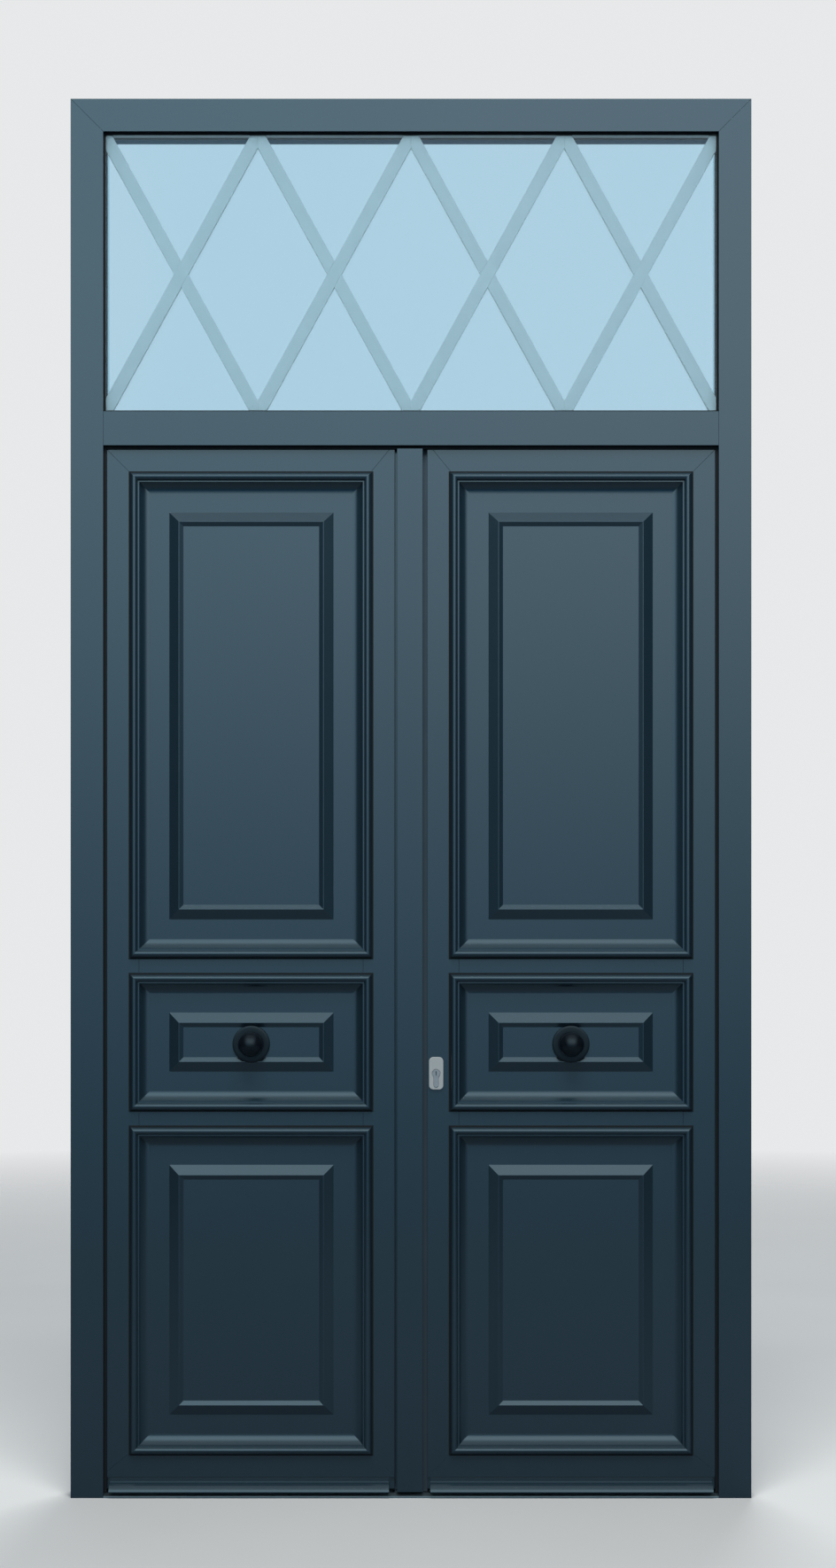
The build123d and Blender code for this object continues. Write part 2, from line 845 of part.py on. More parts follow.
def knob():
    """A turned pull knob: a slim neck, a spreading underside, and a dome turned in a few flat cuts."""
    dome_rise = knob_reach - knob_rim_reach
    outline = [
        (0, 0, 0), (knob_neck_radius, 0, 0), (knob_neck_radius, 0, knob_neck_reach),
        (knob_underside_radius, 0, knob_underside_reach),
    ]
    for cut in range(knob_dome_cuts + 1):
        angle = math.pi / 2 * cut / knob_dome_cuts
        outline.append((knob_radius * math.cos(angle), 0, knob_rim_reach + dome_rise * math.sin(angle)))
    body = turned_outwards(make_face(Polyline(*outline, close=True)), panel_middle_x, knob_seat_y, knob_z)
    stud = rod_along_y(
        knob_stud_radius, panel_middle_x, knob_z, knob_seat_y, panel_back_y + knob_nut_height,
    )
    return body + stud


def knob_nut():
    """The hexagon nut on the stud, against the panel's inside."""
    hexagon = Plane.XZ * RegularPolygon(knob_nut_radius, 6)
    nut = Pos(panel_middle_x, panel_back_y + knob_nut_height, knob_z) * extrude(hexagon, knob_nut_height)
    return nut - rod_along_y(
        knob_stud_radius, panel_middle_x, knob_z, panel_back_y, panel_back_y + knob_nut_height,
    )


def knob_hole():
    return rod_along_y(knob_stud_radius, panel_middle_x, knob_z, -far, far)


# Cover strip, strike and flush bolts on the left leaf

strip_low = threshold_height + bar_clearance
strip_front_top = transom_bottom - strip_top_gap


def cover_strip():
    """The hollow strip on the meeting edge: a proud front with a groove at its left."""
    left_edge = -meeting_half
    groove_y = front_y + strip_groove_depth
    step_y = front_y + strip_step_depth
    outline = [
        (left_edge, back_y), (left_edge, groove_y), (strip_left, groove_y), (strip_left, front_y),
        (strip_right, front_y), (strip_right, step_y), (strip_body_right, step_y),
        (strip_body_right, back_y),
    ]
    front_void = rectangle(
        strip_left + profile_wall, strip_right - profile_wall,
        front_y + profile_wall, step_y - profile_wall,
    )
    back_void = rectangle(
        left_edge + profile_wall, strip_body_right - profile_wall,
        groove_y + profile_wall, back_y - profile_wall,
    )
    section = make_face(Polyline(*outline, close=True)) - front_void - back_void
    strip = beam_up(section, strip_low, leaf_top)
    top_notch = block(
        strip_left - overcut, strip_body_right + overcut, front_y - overcut, leaf_front_y,
        strip_front_top, leaf_top + overcut,
    )
    strip -= top_notch
    strip -= bolt_slot(deadbolt_low, deadbolt_high, deadbolt_thickness)
    strip -= bolt_slot(latch_low, latch_high, latch_thickness)
    for low, high in thumb_slots():
        strip -= thumb_slot(low, high)
    return strip


def bolt_slot(low, high, thickness):
    """The opening that a bolt enters, through the strip's flank and the strike plate."""
    return block(
        strip_body_right - 2 * profile_wall, strip_body_right + 2 * strike_thickness,
        lock_y - thickness / 2 - bolt_slot_margin, lock_y + thickness / 2 + bolt_slot_margin,
        low - bolt_slot_margin, high + bolt_slot_margin,
    )


def strike_plate():
    plate = block(
        strip_body_right, strip_body_right + strike_thickness,
        lock_y - faceplate_width / 2, lock_y + faceplate_width / 2,
        faceplate_low + strike_shorter, faceplate_high - strike_shorter,
    )
    plate -= bolt_slot(deadbolt_low, deadbolt_high, deadbolt_thickness)
    plate -= bolt_slot(latch_low, latch_high, latch_thickness)
    return plate


def meeting_seals():
    """Two seals on the strip's flank, facing the other leaf."""
    step_y = front_y + strip_step_depth
    low = strip_low + bar_clearance
    outer = block(
        strip_body_right, strip_body_right + strip_seal_reach,
        step_y, step_y + strip_seal_width, low, leaf_top,
    )
    inner_y = back_y - inner_seal_offset
    inner = block(
        strip_body_right, strip_body_right + strip_seal_reach,
        inner_y, inner_y + strip_seal_width, low, leaf_top,
    )
    return solids_of(outer, inner)


def strip_guide(low, high):
    """A plug in the end of the strip's back chamber, bored for the flush bolt."""
    gap = profile_wall + cleat_clearance
    plug = block(
        -meeting_half + gap, strip_body_right - gap,
        front_y + strip_groove_depth + gap, back_y - gap, low, high,
    )
    return plug - rod_up(rod_radius + pin_running_fit, rod_x, rod_y, low, high)


def thumb_places():
    top = leaf_top - rod_length
    bottom = strip_low + rod_end_gap + rod_length
    return top, bottom


def thumb_slots():
    """The slots in the strip's flank for the two bolts' thumb pieces, with room for the throw."""
    top, bottom = thumb_places()
    return [
        (top - thumb_clearance, top + thumb_height + rod_throw + thumb_clearance),
        (bottom - thumb_height - rod_throw - thumb_clearance, bottom + thumb_clearance),
    ]


def thumb_slot(low, high):
    return block(
        strip_body_right - 2 * profile_wall, strip_body_right + overcut,
        rod_y - rod_radius, rod_y + rod_radius, low, high,
    )


def flush_bolt(rod_low, rod_high, thumb_low):
    rod = rod_up(rod_radius, rod_x, rod_y, rod_low, rod_high)
    thumb = block(
        rod_x, strip_body_right + thumb_reach,
        rod_y - rod_radius + thumb_clearance, rod_y + rod_radius - thumb_clearance,
        thumb_low, thumb_low + thumb_height,
    )
    return rod + thumb


def top_bolt():
    top, _ = thumb_places()
    return flush_bolt(top, leaf_top - rod_end_gap, top)


def bottom_bolt():
    _, bottom = thumb_places()
    return flush_bolt(strip_low + rod_end_gap, bottom, bottom - thumb_height)


# Lock on the right leaf

def euro_outline(grow):
    """The keyhole outline of a profile cylinder, in X and Z about its plug."""
    round_part = Circle(cylinder_radius + grow)
    flag = Pos(0, -cylinder_drop / 2) * Rectangle(cylinder_flag_width + 2 * grow, cylinder_drop)
    foot = Pos(0, -cylinder_drop) * Circle(cylinder_flag_width / 2 + grow)
    return round_part + flag + foot


def euro_prism(grow, low_y, high_y):
    outline = Plane.XZ * euro_outline(grow)
    return Pos(cylinder_x, high_y, cylinder_z) * extrude(outline, high_y - low_y)


cylinder_outer_y = leaf_front_y - escutcheon_thickness - cylinder_proud
cylinder_inner_y = back_y + inner_plate_thickness + cylinder_proud
cam_swing = math.hypot(cam_reach, cam_lobe_width / 2) + cylinder_clearance
cam_low_y = lock_y - cam_width / 2
cam_high_y = lock_y + cam_width / 2


def cylinder_body():
    """The profile cylinder, bored for its plug and cut away in the middle for the cam."""
    body = euro_prism(0, cylinder_outer_y, cylinder_inner_y)
    body -= rod_along_y(
        plug_radius + pin_running_fit, cylinder_x, cylinder_z, cylinder_outer_y, cylinder_inner_y,
    )
    gap = cylinder_clearance
    cam_room = block(
        cylinder_x - cam_swing, cylinder_x + cam_swing, cam_low_y - gap, cam_high_y + gap,
        cylinder_z - cam_swing, cylinder_z + cam_swing,
    )
    return body - cam_room


def cylinder_plug():
    """The turning plug with its key slot at both ends and the cam that drives the bolt."""
    plug = rod_along_y(plug_radius, cylinder_x, cylinder_z, cylinder_outer_y, cylinder_inner_y)
    lobe = block(
        cylinder_x - cam_lobe_width / 2, cylinder_x + cam_lobe_width / 2, cam_low_y, cam_high_y,
        cylinder_z - cam_reach, cylinder_z,
    )
    key_slot = block(
        cylinder_x - key_slot_width / 2, cylinder_x + key_slot_width / 2,
        cylinder_outer_y, cylinder_outer_y + key_slot_depth,
        cylinder_z - key_slot_height / 2, cylinder_z + key_slot_height / 2,
    )
    inner_slot = Pos(0, cylinder_inner_y - cylinder_outer_y - key_slot_depth, 0) * key_slot
    return plug + lobe - key_slot - inner_slot


def bolt_pocket(low_z, high_z, thickness):
    """The room that a bolt slides in, open at the stile's edge."""
    return block(
        meeting_half - overcut, meeting_half + bolt_clearance * 2 + bolt_length,
        lock_y - thickness / 2 - bolt_clearance, lock_y + thickness / 2 + bolt_clearance,
        low_z - bolt_clearance, high_z + bolt_clearance,
    )


def bolt_pockets():
    return [
        bolt_pocket(deadbolt_low, deadbolt_high, deadbolt_thickness),
        bolt_pocket(latch_low, latch_high, latch_thickness),
    ]


def lock_case():
    """The closed lock case inside the stile, bored for the cylinder and the lever's spindle."""
    low_x = meeting_half + faceplate_thickness
    low_y = lock_y - lock_case_thickness / 2
    high_y = lock_y + lock_case_thickness / 2
    case = block(low_x, low_x + lock_case_depth, low_y, high_y, lock_case_low, lock_case_high)
    for pocket in bolt_pockets():
        case -= pocket
    case -= block(
        cylinder_x - cam_swing, cylinder_x + cam_swing,
        cam_low_y - cylinder_clearance, cam_high_y + cylinder_clearance,
        cylinder_z - cam_swing, cylinder_z + cam_swing,
    )
    case -= euro_prism(cylinder_clearance, low_y - overcut, high_y + overcut)
    return case - rod_along_y(
        lever_hub_radius + cylinder_clearance, cylinder_x, spindle_z, low_y - overcut, high_y + overcut,
    )


def lock_faceplate():
    plate = block(
        meeting_half, meeting_half + faceplate_thickness,
        lock_y - faceplate_width / 2, lock_y + faceplate_width / 2, faceplate_low, faceplate_high,
    )
    for pocket in bolt_pockets():
        plate -= pocket
    return plate


def deadbolt():
    return block(
        meeting_half + bolt_clearance, meeting_half + bolt_clearance + bolt_length,
        lock_y - deadbolt_thickness / 2, lock_y + deadbolt_thickness / 2, deadbolt_low, deadbolt_high,
    )


def latch_bolt():
    """The latch, with its slanted nose."""
    start = meeting_half + bolt_clearance
    low_y = lock_y - latch_thickness / 2
    high_y = lock_y + latch_thickness / 2
    outline = [
        (start, low_y), (start, low_y + profile_wall), (start + latch_thickness - profile_wall, high_y),
        (start + bolt_length, high_y), (start + bolt_length, low_y),
    ]
    return beam_up(make_face(Polyline(*outline, close=True)), latch_low, latch_high)


def stile_cuts():
    """What the lock stile is cut for: the faceplate, the milled lock pocket, the cylinder and the spindle."""
    edge_slot = block(
        meeting_half - overcut, meeting_half + faceplate_thickness,
        lock_y - faceplate_width / 2, lock_y + faceplate_width / 2, faceplate_low, faceplate_high,
    )
    pocket = block(
        meeting_half - overcut, meeting_half + faceplate_thickness + lock_case_depth + cylinder_clearance,
        leaf_front_y + profile_wall, back_y - profile_wall,
        lock_case_low - cylinder_clearance, lock_case_high + cylinder_clearance,
    )
    keep_edge = block(
        meeting_half, meeting_half + profile_wall, leaf_lip_back_y, back_y, leaf_bottom, leaf_top,
    )
    cylinder_hole = euro_prism(cylinder_clearance, -far, far)
    spindle_hole = rod_along_y(
        lever_hub_radius + cylinder_clearance, cylinder_x, spindle_z, lock_y, back_y + overcut,
    )
    return edge_slot + (pocket - keep_edge) + cylinder_hole + spindle_hole


def plate_with_round_ends(width, low_z, high_z, low_y, high_y):
    """An upright plate with rounded ends, on the cylinder's line."""
    outline = Plane.XZ * SlotOverall(high_z - low_z, width, rotation=90)
    return Pos(cylinder_x, high_y, (low_z + high_z) / 2) * extrude(outline, high_y - low_y)


def escutcheon():
    low_z = cylinder_z - escutcheon_height / 2
    plate = plate_with_round_ends(
        escutcheon_width, low_z, low_z + escutcheon_height, leaf_front_y - escutcheon_thickness, leaf_front_y,
    )
    outer_edges = plate.faces().sort_by(Axis.Y)[0].edges()
    plate = chamfer(outer_edges, escutcheon_bevel)
    return plate - euro_prism(cylinder_clearance, -far, far)


def inner_plate():
    plate = plate_with_round_ends(
        inner_plate_width, inner_plate_low, inner_plate_high, back_y, back_y + inner_plate_thickness,
    )
    plate -= euro_prism(cylinder_clearance, -far, far)
    return plate - rod_along_y(lever_hub_radius + pin_running_fit, cylinder_x, spindle_z, 0, far)


def inner_lever():
    """The lever handle: hub and spindle in the lock, a neck, and a grip that turns back at its end."""
    grip_y = back_y + lever_reach
    neck = rod_along_y(lever_hub_radius, cylinder_x, spindle_z, lock_y - spindle_side / 2, grip_y)
    low_z = spindle_z - lever_grip_height / 2
    high_z = spindle_z + lever_grip_height / 2
    end_x = cylinder_x + lever_length
    start_x = cylinder_x - lever_hub_radius
    grip = block(start_x, end_x, grip_y, grip_y + lever_grip_thickness, low_z, high_z)
    grip = fillet(grip.edges().filter_by(Axis.X), lever_grip_rounding)
    tip = block(
        end_x - lever_grip_thickness, end_x, grip_y - lever_tip_length, grip_y + lever_tip_rounding,
        low_z + lever_tip_inset, high_z - lever_tip_inset,
    )
    tip = fillet(tip.edges().filter_by(Axis.Y), lever_tip_rounding)
    return neck + grip + tip


# Build every piece and save it

pieces = {
    "frame_jamb_right": solids_of(frame_jamb(), frame_cleat()),
    "frame_jamb_left": solids_of(other_side(frame_jamb()), other_side(frame_cleat())),
    "frame_head": solids_of(frame_head()),
    "frame_transom": solids_of(frame_transom()),
    "threshold": solids_of(threshold()),
    "doorway_seal": leaf_seals_on_frame(),
    "fanlight_outer_pane": solids_of(fanlight_pane(outer_pane_y)),
    "fanlight_inner_pane": solids_of(fanlight_pane(inner_pane_y)),
    "fanlight_spacer": solids_of(fanlight_spacer()),
    "lattice_rising": lattice_bars(1),
    "lattice_falling": lattice_bars(-1),
    "fanlight_seals": fanlight_seals(),
    "fanlight_beads": fanlight_beads(),
}

right_hinges = [hinge_frame_part(height) for height in hinge_heights]
right_pins = [hinge_pin(height) for height in hinge_heights]
pieces["frame_hinges"] = solids_of(*right_hinges, *map(other_side, right_hinges))
pieces["hinge_pins"] = solids_of(*right_pins, *map(other_side, right_pins))

lock_holes = stile_cuts()
leaf_pieces = {
    "hinge_stile": solids_of(hinge_stile(), leaf_cleat("hinge_top"), leaf_cleat("hinge_bottom")),
    "meeting_stile": solids_of(meeting_stile(), leaf_cleat("meeting_top"), leaf_cleat("meeting_bottom")),
    "top_rail": solids_of(top_rail()),
    "bottom_rail": solids_of(bottom_rail()),
    "mid_rails": mid_rails(),
    "panel_upper": solids_of(leaf_panel("upper")),
    "panel_middle": solids_of(leaf_panel("middle") - knob_hole()),
    "panel_lower": solids_of(leaf_panel("lower")),
    "mouldings": mouldings(),
    "panel_beads": panel_beads(),
    "seals": panel_seals() + solids_of(foot_brush()),
    "bottom_profile": solids_of(bottom_profile()),
    "weather_bar": None,
    "leaf_hinges": solids_of(*[hinge_leaf_part(height) for height in hinge_heights]),
    "knob": solids_of(knob(), knob_nut()),
    "knob_rose": solids_of(knob_rose()),
}
bar_starts = {"right": meeting_half + bar_clearance * 2, "left": meeting_half + bar_clearance * 4}
for side in ("left", "right"):
    for name, made in leaf_pieces.items():
        made = made or solids_of(weather_bar(bar_starts[side]))
        if name == "meeting_stile" and side == "right":
            stile = made[0] - lock_holes
            made = solids_of(stile) + made[1:]
        if side == "left":
            made = solids_of(*map(other_side, made))
        pieces[side + "_" + name] = made

pieces["cover_strip"] = solids_of(
    cover_strip(),
    strip_guide(leaf_top - guide_height, leaf_top),
    strip_guide(strip_low, strip_low + guide_height),
)
pieces["left_seals"] += meeting_seals()
pieces["strike_plate"] = solids_of(strike_plate())
pieces["top_bolt"] = solids_of(top_bolt())
pieces["bottom_bolt"] = solids_of(bottom_bolt())
pieces["lock_case"] = solids_of(lock_case())
pieces["lock_faceplate"] = solids_of(lock_faceplate())
pieces["deadbolt"] = solids_of(deadbolt())
pieces["latch_bolt"] = solids_of(latch_bolt())
pieces["cylinder_body"] = solids_of(cylinder_body())
pieces["cylinder_plug"] = solids_of(cylinder_plug())
pieces["escutcheon"] = solids_of(escutcheon())
pieces["inner_plate"] = solids_of(inner_plate())
pieces["inner_lever"] = solids_of(inner_lever())

os.makedirs("parts", exist_ok=True)
for name, solids in pieces.items():
    shape = solids[0] if len(solids) == 1 else Compound(children=list(solids))
    export_step(shape, os.path.join("parts", name + ".step"))
print(len(pieces), "nodes,", sum(len(solids) for solids in pieces.values()), "solids")
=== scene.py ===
import json
import math
import bmesh
import bpy
from mathutils import Matrix, Vector


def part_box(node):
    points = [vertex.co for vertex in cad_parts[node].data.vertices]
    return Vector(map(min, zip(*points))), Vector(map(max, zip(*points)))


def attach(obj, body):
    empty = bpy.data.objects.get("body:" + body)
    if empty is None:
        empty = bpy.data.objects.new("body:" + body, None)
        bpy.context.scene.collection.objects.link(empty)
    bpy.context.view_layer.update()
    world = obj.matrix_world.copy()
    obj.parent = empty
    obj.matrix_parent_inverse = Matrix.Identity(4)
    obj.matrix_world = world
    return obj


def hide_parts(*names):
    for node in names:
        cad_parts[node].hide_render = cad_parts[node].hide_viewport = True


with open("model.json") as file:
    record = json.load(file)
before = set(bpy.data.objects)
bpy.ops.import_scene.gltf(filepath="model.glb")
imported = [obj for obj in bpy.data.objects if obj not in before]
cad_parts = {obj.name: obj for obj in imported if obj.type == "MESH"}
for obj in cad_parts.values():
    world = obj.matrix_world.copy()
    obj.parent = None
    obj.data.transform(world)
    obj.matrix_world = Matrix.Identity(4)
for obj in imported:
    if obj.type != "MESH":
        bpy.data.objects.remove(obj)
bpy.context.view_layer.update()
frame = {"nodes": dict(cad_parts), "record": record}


# Frame
# Two jambs, a head and a transom of hollow aluminium profile, mitred at the corners
# and powder-coated in a satin dark blue-grey. Screws through the jambs hold it in the wall.

class Signal:
    """One output of a node, which takes part in sums."""

    def __init__(self, bench, socket):
        self.bench = bench
        self.socket = socket

    def other(self, name):
        """Another output of the same node."""
        return Signal(self.bench, self.socket.node.outputs[name])

    def maths(self, operation, *values):
        return self.bench.node("ShaderNodeMath", {"operation": operation}, dict(enumerate(values)))

    def __add__(self, value):
        return self.maths("ADD", self, value)

    def __sub__(self, value):
        return self.maths("SUBTRACT", self, value)

    def __mul__(self, value):
        return self.maths("MULTIPLY", self, value)

    __radd__ = __add__
    __rmul__ = __mul__

    def __truediv__(self, value):
        return self.maths("DIVIDE", self, value)

    def __abs__(self):
        return self.maths("ABSOLUTE", self)

    def kept_in(self, low, high):
        return self.maths("MAXIMUM", self.maths("MINIMUM", self, high), low)

    def ramp(self, start, width):
        """Goes from 0 to 1 over a width that begins at the start."""
        return ((self - start) / width).kept_in(0.0, 1.0)


class Bench:
    """A node tree under construction."""

    def __init__(self, tree):
        self.tree = tree
        self.tree.nodes.clear()

    def node(self, kind, settings=None, sockets=None, output=None):
        """Adds one node, sets it, feeds its sockets and gives one of its outputs."""
        node = self.tree.nodes.new(kind)
        for name, value in (settings or {}).items():
            setattr(node, name, value)
        for key, value in (sockets or {}).items():
            if isinstance(key, str):
                socket = next(s for s in node.inputs if s.name == key and s.enabled)
            else:
                socket = node.inputs[key]
            if isinstance(value, Signal):
                self.tree.links.new(value.socket, socket)
            else:
                socket.default_value = value
        outputs = [s for s in node.outputs if s.enabled and output in (None, s.name)]
        return Signal(self, outputs[0]) if outputs else node

    def between(self, mask, first, second):
        """A colour that goes from the first to the second with the mask."""
        sockets = {"Factor": mask, "A": first, "B": second}
        return self.node("ShaderNodeMix", {"data_type": "RGBA"}, sockets, "Result")


class Finish(Bench):
    """A material under construction."""

    def __init__(self, name):
        self.material = bpy.data.materials.new(name)
        self.material.use_nodes = True
        super().__init__(self.material.node_tree)

    def place(self, x=1.0, z=1.0):
        """The point on the object. A small scale along an axis draws the pattern out along it."""
        point = self.node("ShaderNodeTexCoord", output="Object")
        if x == z == 1.0:
            return point
        return self.node("ShaderNodeMapping", {}, {"Vector": point, "Scale": (x, 1.0, z)})

    def noise(self, size, detail, place=None):
        """A cloudy pattern from 0 to 1 whose features are about the given size in metres."""
        sockets = {"Vector": place or self.place(), "Scale": 1 / size, "Detail": detail}
        return self.node("ShaderNodeTexNoise", {}, sockets, "Fac")

    def bump(self, height, depth):
        """A bumped normal, with the depth of the pattern in metres."""
        sockets = {"Height": height, "Distance": depth, "Strength": 1.0}
        return self.node("ShaderNodeBump", {}, sockets, "Normal")

    def done(self, sockets):
        """Ends the material with one shader."""
        shader = self.node("ShaderNodeBsdfPrincipled", {}, sockets)
        self.node("ShaderNodeOutputMaterial", {}, {"Surface": shader})
        return self.material


def light_of(share):
    """The light of a colour value between 0 and 1: a straight toe, then a power curve."""
    toe_end, toe_slope = 0.04045, 12.92
    lift, power = 0.055, 2.4
    return share / toe_slope if share <= toe_end else ((share + lift) / (1 + lift)) ** power


def colour(red, green, blue):
    """A paint chart's 0 to 255 colour as light."""
    return (light_of(red / 255), light_of(green / 255), light_of(blue / 255), 1.0)


def door_paint():
    """Satin powder coat: a fine orange-peel skin and slow changes of tone and gloss."""
    paint = Finish("door_paint")
    cloud = paint.noise(size=0.55, detail=3.0)
    film = paint.noise(size=0.045, detail=3.0)
    peel = paint.noise(size=0.0021, detail=1.0)
    speck = paint.noise(size=0.0006, detail=0.0)
    mottle = cloud * 0.7 + film * 0.3
    return paint.done({
        "Base Color": paint.between(mottle, colour(17, 34, 44), colour(22, 40, 50)),
        "Roughness": 0.27 + 0.06 * film + 0.04 * speck,
        "Normal": paint.bump(peel + 0.25 * speck, depth=0.00004),
        "IOR": 1.62,
        "Coat Weight": 1.0,
        "Coat Roughness": 0.17,
        "Coat IOR": 1.80,
    })


door_coat = door_paint()


def is_mitre(face):
    """Whether a face stands upright and slants between across and up, as a mitred end does."""
    upright, slant = 0.01, 0.5
    normal = face.normal
    return abs(normal.y) < upright and min(abs(normal.x), abs(normal.z)) > slant


weld = 0.000002
flat_angle = math.radians(0.2)


def is_cut(edge, heights):
    """Whether an edge lies level at one of the heights, on a face that a bore can go through."""
    square = 0.999
    if any(max(abs(face.normal.x), abs(face.normal.y)) < square for face in edge.link_faces):
        return False
    first, second = (vert.co.z for vert in edge.verts)
    return any(abs(first - height) < weld and abs(second - height) < weld for height in heights)


def join_flat_triangles(work, bore_heights):
    """Makes whole faces of flat triangles. Level cuts through the bores keep the faces there simple."""
    for height in bore_heights:
        everything = work.verts[:] + work.edges[:] + work.faces[:]
        point, upwards = (0.0, 0.0, height), (0.0, 0.0, 1.0)
        bmesh.ops.bisect_plane(work, geom=everything, dist=weld, plane_co=point, plane_no=upwards)
    plain_edges = [e for e in work.edges if not any(is_mitre(f) for f in e.link_faces)]
    plain_edges = [e for e in plain_edges if not is_cut(e, bore_heights)]
    plain_verts = [v for v in work.verts if not any(is_cut(e, bore_heights) for e in v.link_edges)]
    bmesh.ops.dissolve_limit(work, angle_limit=flat_angle, verts=plain_verts, edges=plain_edges)


def merged_copy(node, mitres_joined=False, bore_heights=()):
    """A node's mesh as one skin, with the loose triangles joined at their corners."""
    mesh = frame["nodes"][node].data.copy()
    work = bmesh.new()
    work.from_mesh(mesh)
    if mitres_joined:
        bmesh.ops.delete(work, geom=[f for f in work.faces if is_mitre(f)], context="FACES")
    bmesh.ops.remove_doubles(work, verts=work.verts, dist=weld)
    join_flat_triangles(work, bore_heights)
    work.to_mesh(mesh)
    work.free()
    return mesh


def add_piece(name, mesh, material, body):
    """Puts a finished mesh in the scene, riding on a body."""
    piece = bpy.data.objects.new(name, mesh)
    bpy.context.scene.collection.objects.link(piece)
    mesh.materials.clear()
    mesh.materials.append(material)
    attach(piece, body)
    return piece


def plain_mesh(piece):
    """The mesh that an object's modifiers give."""
    shown = piece.evaluated_get(bpy.context.evaluated_depsgraph_get())
    return bpy.data.meshes.new_from_object(shown)


def body_of(node):
    bodies = frame["record"]["behaviour"]["bodies"]
    return next(body for body, nodes in bodies.items() if node in nodes)


sharp_angle = math.radians(30)
shortest_arris = 0.0016
straight_share = 0.9


def is_arris(edge, least_angle):
    """Whether an edge is sharp and long enough to be rounded, and no rim or wall of a bore."""
    length = edge.calc_length()
    first, second = (vert.co for vert in edge.verts)
    along_bore = abs(second.y - first.y) > straight_share * length
    limit = sharp_angle if along_bore else least_angle
    return edge.calc_face_angle(0.0) > limit and length > shortest_arris


def mark_arrises(mesh, least_angle):
    """Marks the edges that the bevel is to round."""
    work = bmesh.new()
    work.from_mesh(mesh)
    weights = work.edges.layers.float.new("bevel_weight_edge")
    for edge in work.edges:
        edge[weights] = float(is_arris(edge, least_angle))
    work.to_mesh(mesh)
    work.free()


def eased(node, width, material, segments=2, least_angle=sharp_angle, **joining):
    """Stands in for a node with its arrises rounded, as sawn and coated metal has them."""
    sharp = bpy.data.objects.new(node + "_sharp", merged_copy(node, **joining))
    mark_arrises(sharp.data, least_angle)
    sharp.data.shade_smooth()
    bpy.context.scene.collection.objects.link(sharp)
    arris = sharp.modifiers.new("arris", "BEVEL")
    arris.width = width
    arris.segments = segments
    arris.limit_method = "WEIGHT"
    arris.use_clamp_overlap = False
    flats = sharp.modifiers.new("flats", "WEIGHTED_NORMAL")
    flats.weight = 100
    mesh = plain_mesh(sharp)
    bpy.data.objects.remove(sharp)
    piece = add_piece(node + "_finished", mesh, material, body_of(node))
    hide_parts(node)


def evenly(first, spacing, count):
    """Heights at equal steps."""
    return [first + number * spacing for number in range(count)]


coat_arris = 0.0005
fixing_heights = evenly(first=0.250, spacing=0.625, count=5)
for name in ("frame_jamb_left", "frame_jamb_right"):
    eased(name, coat_arris, door_coat, bore_heights=fixing_heights)
for name in ("frame_head", "frame_transom"):
    eased(name, coat_arris, door_coat)


def dress(material, *names):
    """Gives nodes whose shape is right their real finish."""
    for name in names:
        mesh = frame["nodes"][name].data
        for place in range(len(mesh.materials)):
            mesh.materials[place] = material


# Threshold
# A low extruded sill with a sloped nose, in plain anodised aluminium, bedded on the step
# between the jambs.

def mill_aluminium():
    """Anodised extrusion: faint draw lines along its length and a soft haze."""
    metal = Finish("mill_aluminium")
    lines = metal.noise(size=0.0007, detail=2.0, place=metal.place(x=0.01))
    haze = metal.noise(size=0.12, detail=3.0)
    tone = metal.between(haze, colour(172, 174, 175), colour(192, 193, 193))
    return metal.done({
        "Base Color": tone,
        "Metallic": 1.0,
        "Roughness": 0.34 + 0.14 * lines + 0.06 * haze,
        "Normal": metal.bump(lines, depth=0.00002),
    })


sill_metal = mill_aluminium()
eased("threshold", coat_arris, sill_metal)


# Doorway and panel seals
# Black rubber strips behind the frame's lip and round the panels, and the brush under
# each leaf's foot.

def seal_rubber():
    rubber = Finish("seal_black")
    bloom = rubber.noise(size=0.03, detail=3.0)
    grain = rubber.noise(size=0.0009, detail=2.0)
    tone = rubber.between(bloom, colour(17, 18, 19), colour(29, 30, 31))
    return rubber.done({
        "Base Color": tone,
        "Roughness": 0.62 + 0.2 * bloom,
        "Normal": rubber.bump(grain, depth=0.00005),
    })


rubber = seal_rubber()
dress(rubber, "doorway_seal", "left_seals", "right_seals")


# Fanlight
# A sealed unit of two clear panes and an aluminium spacer, with painted diamond bars
# between the panes. Rubber strips and clip-in beads hold it in the frame.

def clear_glass():
    glass = Finish("clear_glass")
    wave = glass.noise(size=0.35, detail=1.0)
    film = glass.noise(size=0.09, detail=4.0)
    return glass.done({
        # The panes' pale blue tint is partly a slight real tint. It is partly a painted reflection of the
        # sky.
        "Base Color": (0.82, 0.90, 0.93, 1.0),
        "Roughness": 0.01 + 0.015 * film,
        "Normal": glass.bump(wave, depth=0.0003),
        "Transmission Weight": 1.0,
        "IOR": 1.5,
    })


def lattice_paint():
    paint = Finish("lattice_white")
    film = paint.noise(size=0.02, detail=3.0)
    tone = paint.between(film, colour(232, 243, 240), colour(240, 249, 246))
    return paint.done({
        "Base Color": tone,
        "Roughness": 0.42 + 0.12 * film,
        "Normal": paint.bump(paint.noise(size=0.0018, detail=1.0), depth=0.00004),
    })


pane_glass = clear_glass()
dress(pane_glass, "fanlight_outer_pane", "fanlight_inner_pane")
bar_paint = lattice_paint()
bar_arris = 0.001
for name in ("lattice_rising", "lattice_falling"):
    eased(name, bar_arris, bar_paint, segments=3)
dress(sill_metal, "fanlight_spacer")
dress(rubber, "fanlight_seals")
eased("fanlight_beads", coat_arris, door_coat, mitres_joined=True)


# Hinges
# Six barrel hinges in two halves, coated like the door, whose steel pins stay in the
# lower half. Slotted steel screws hold the plates.

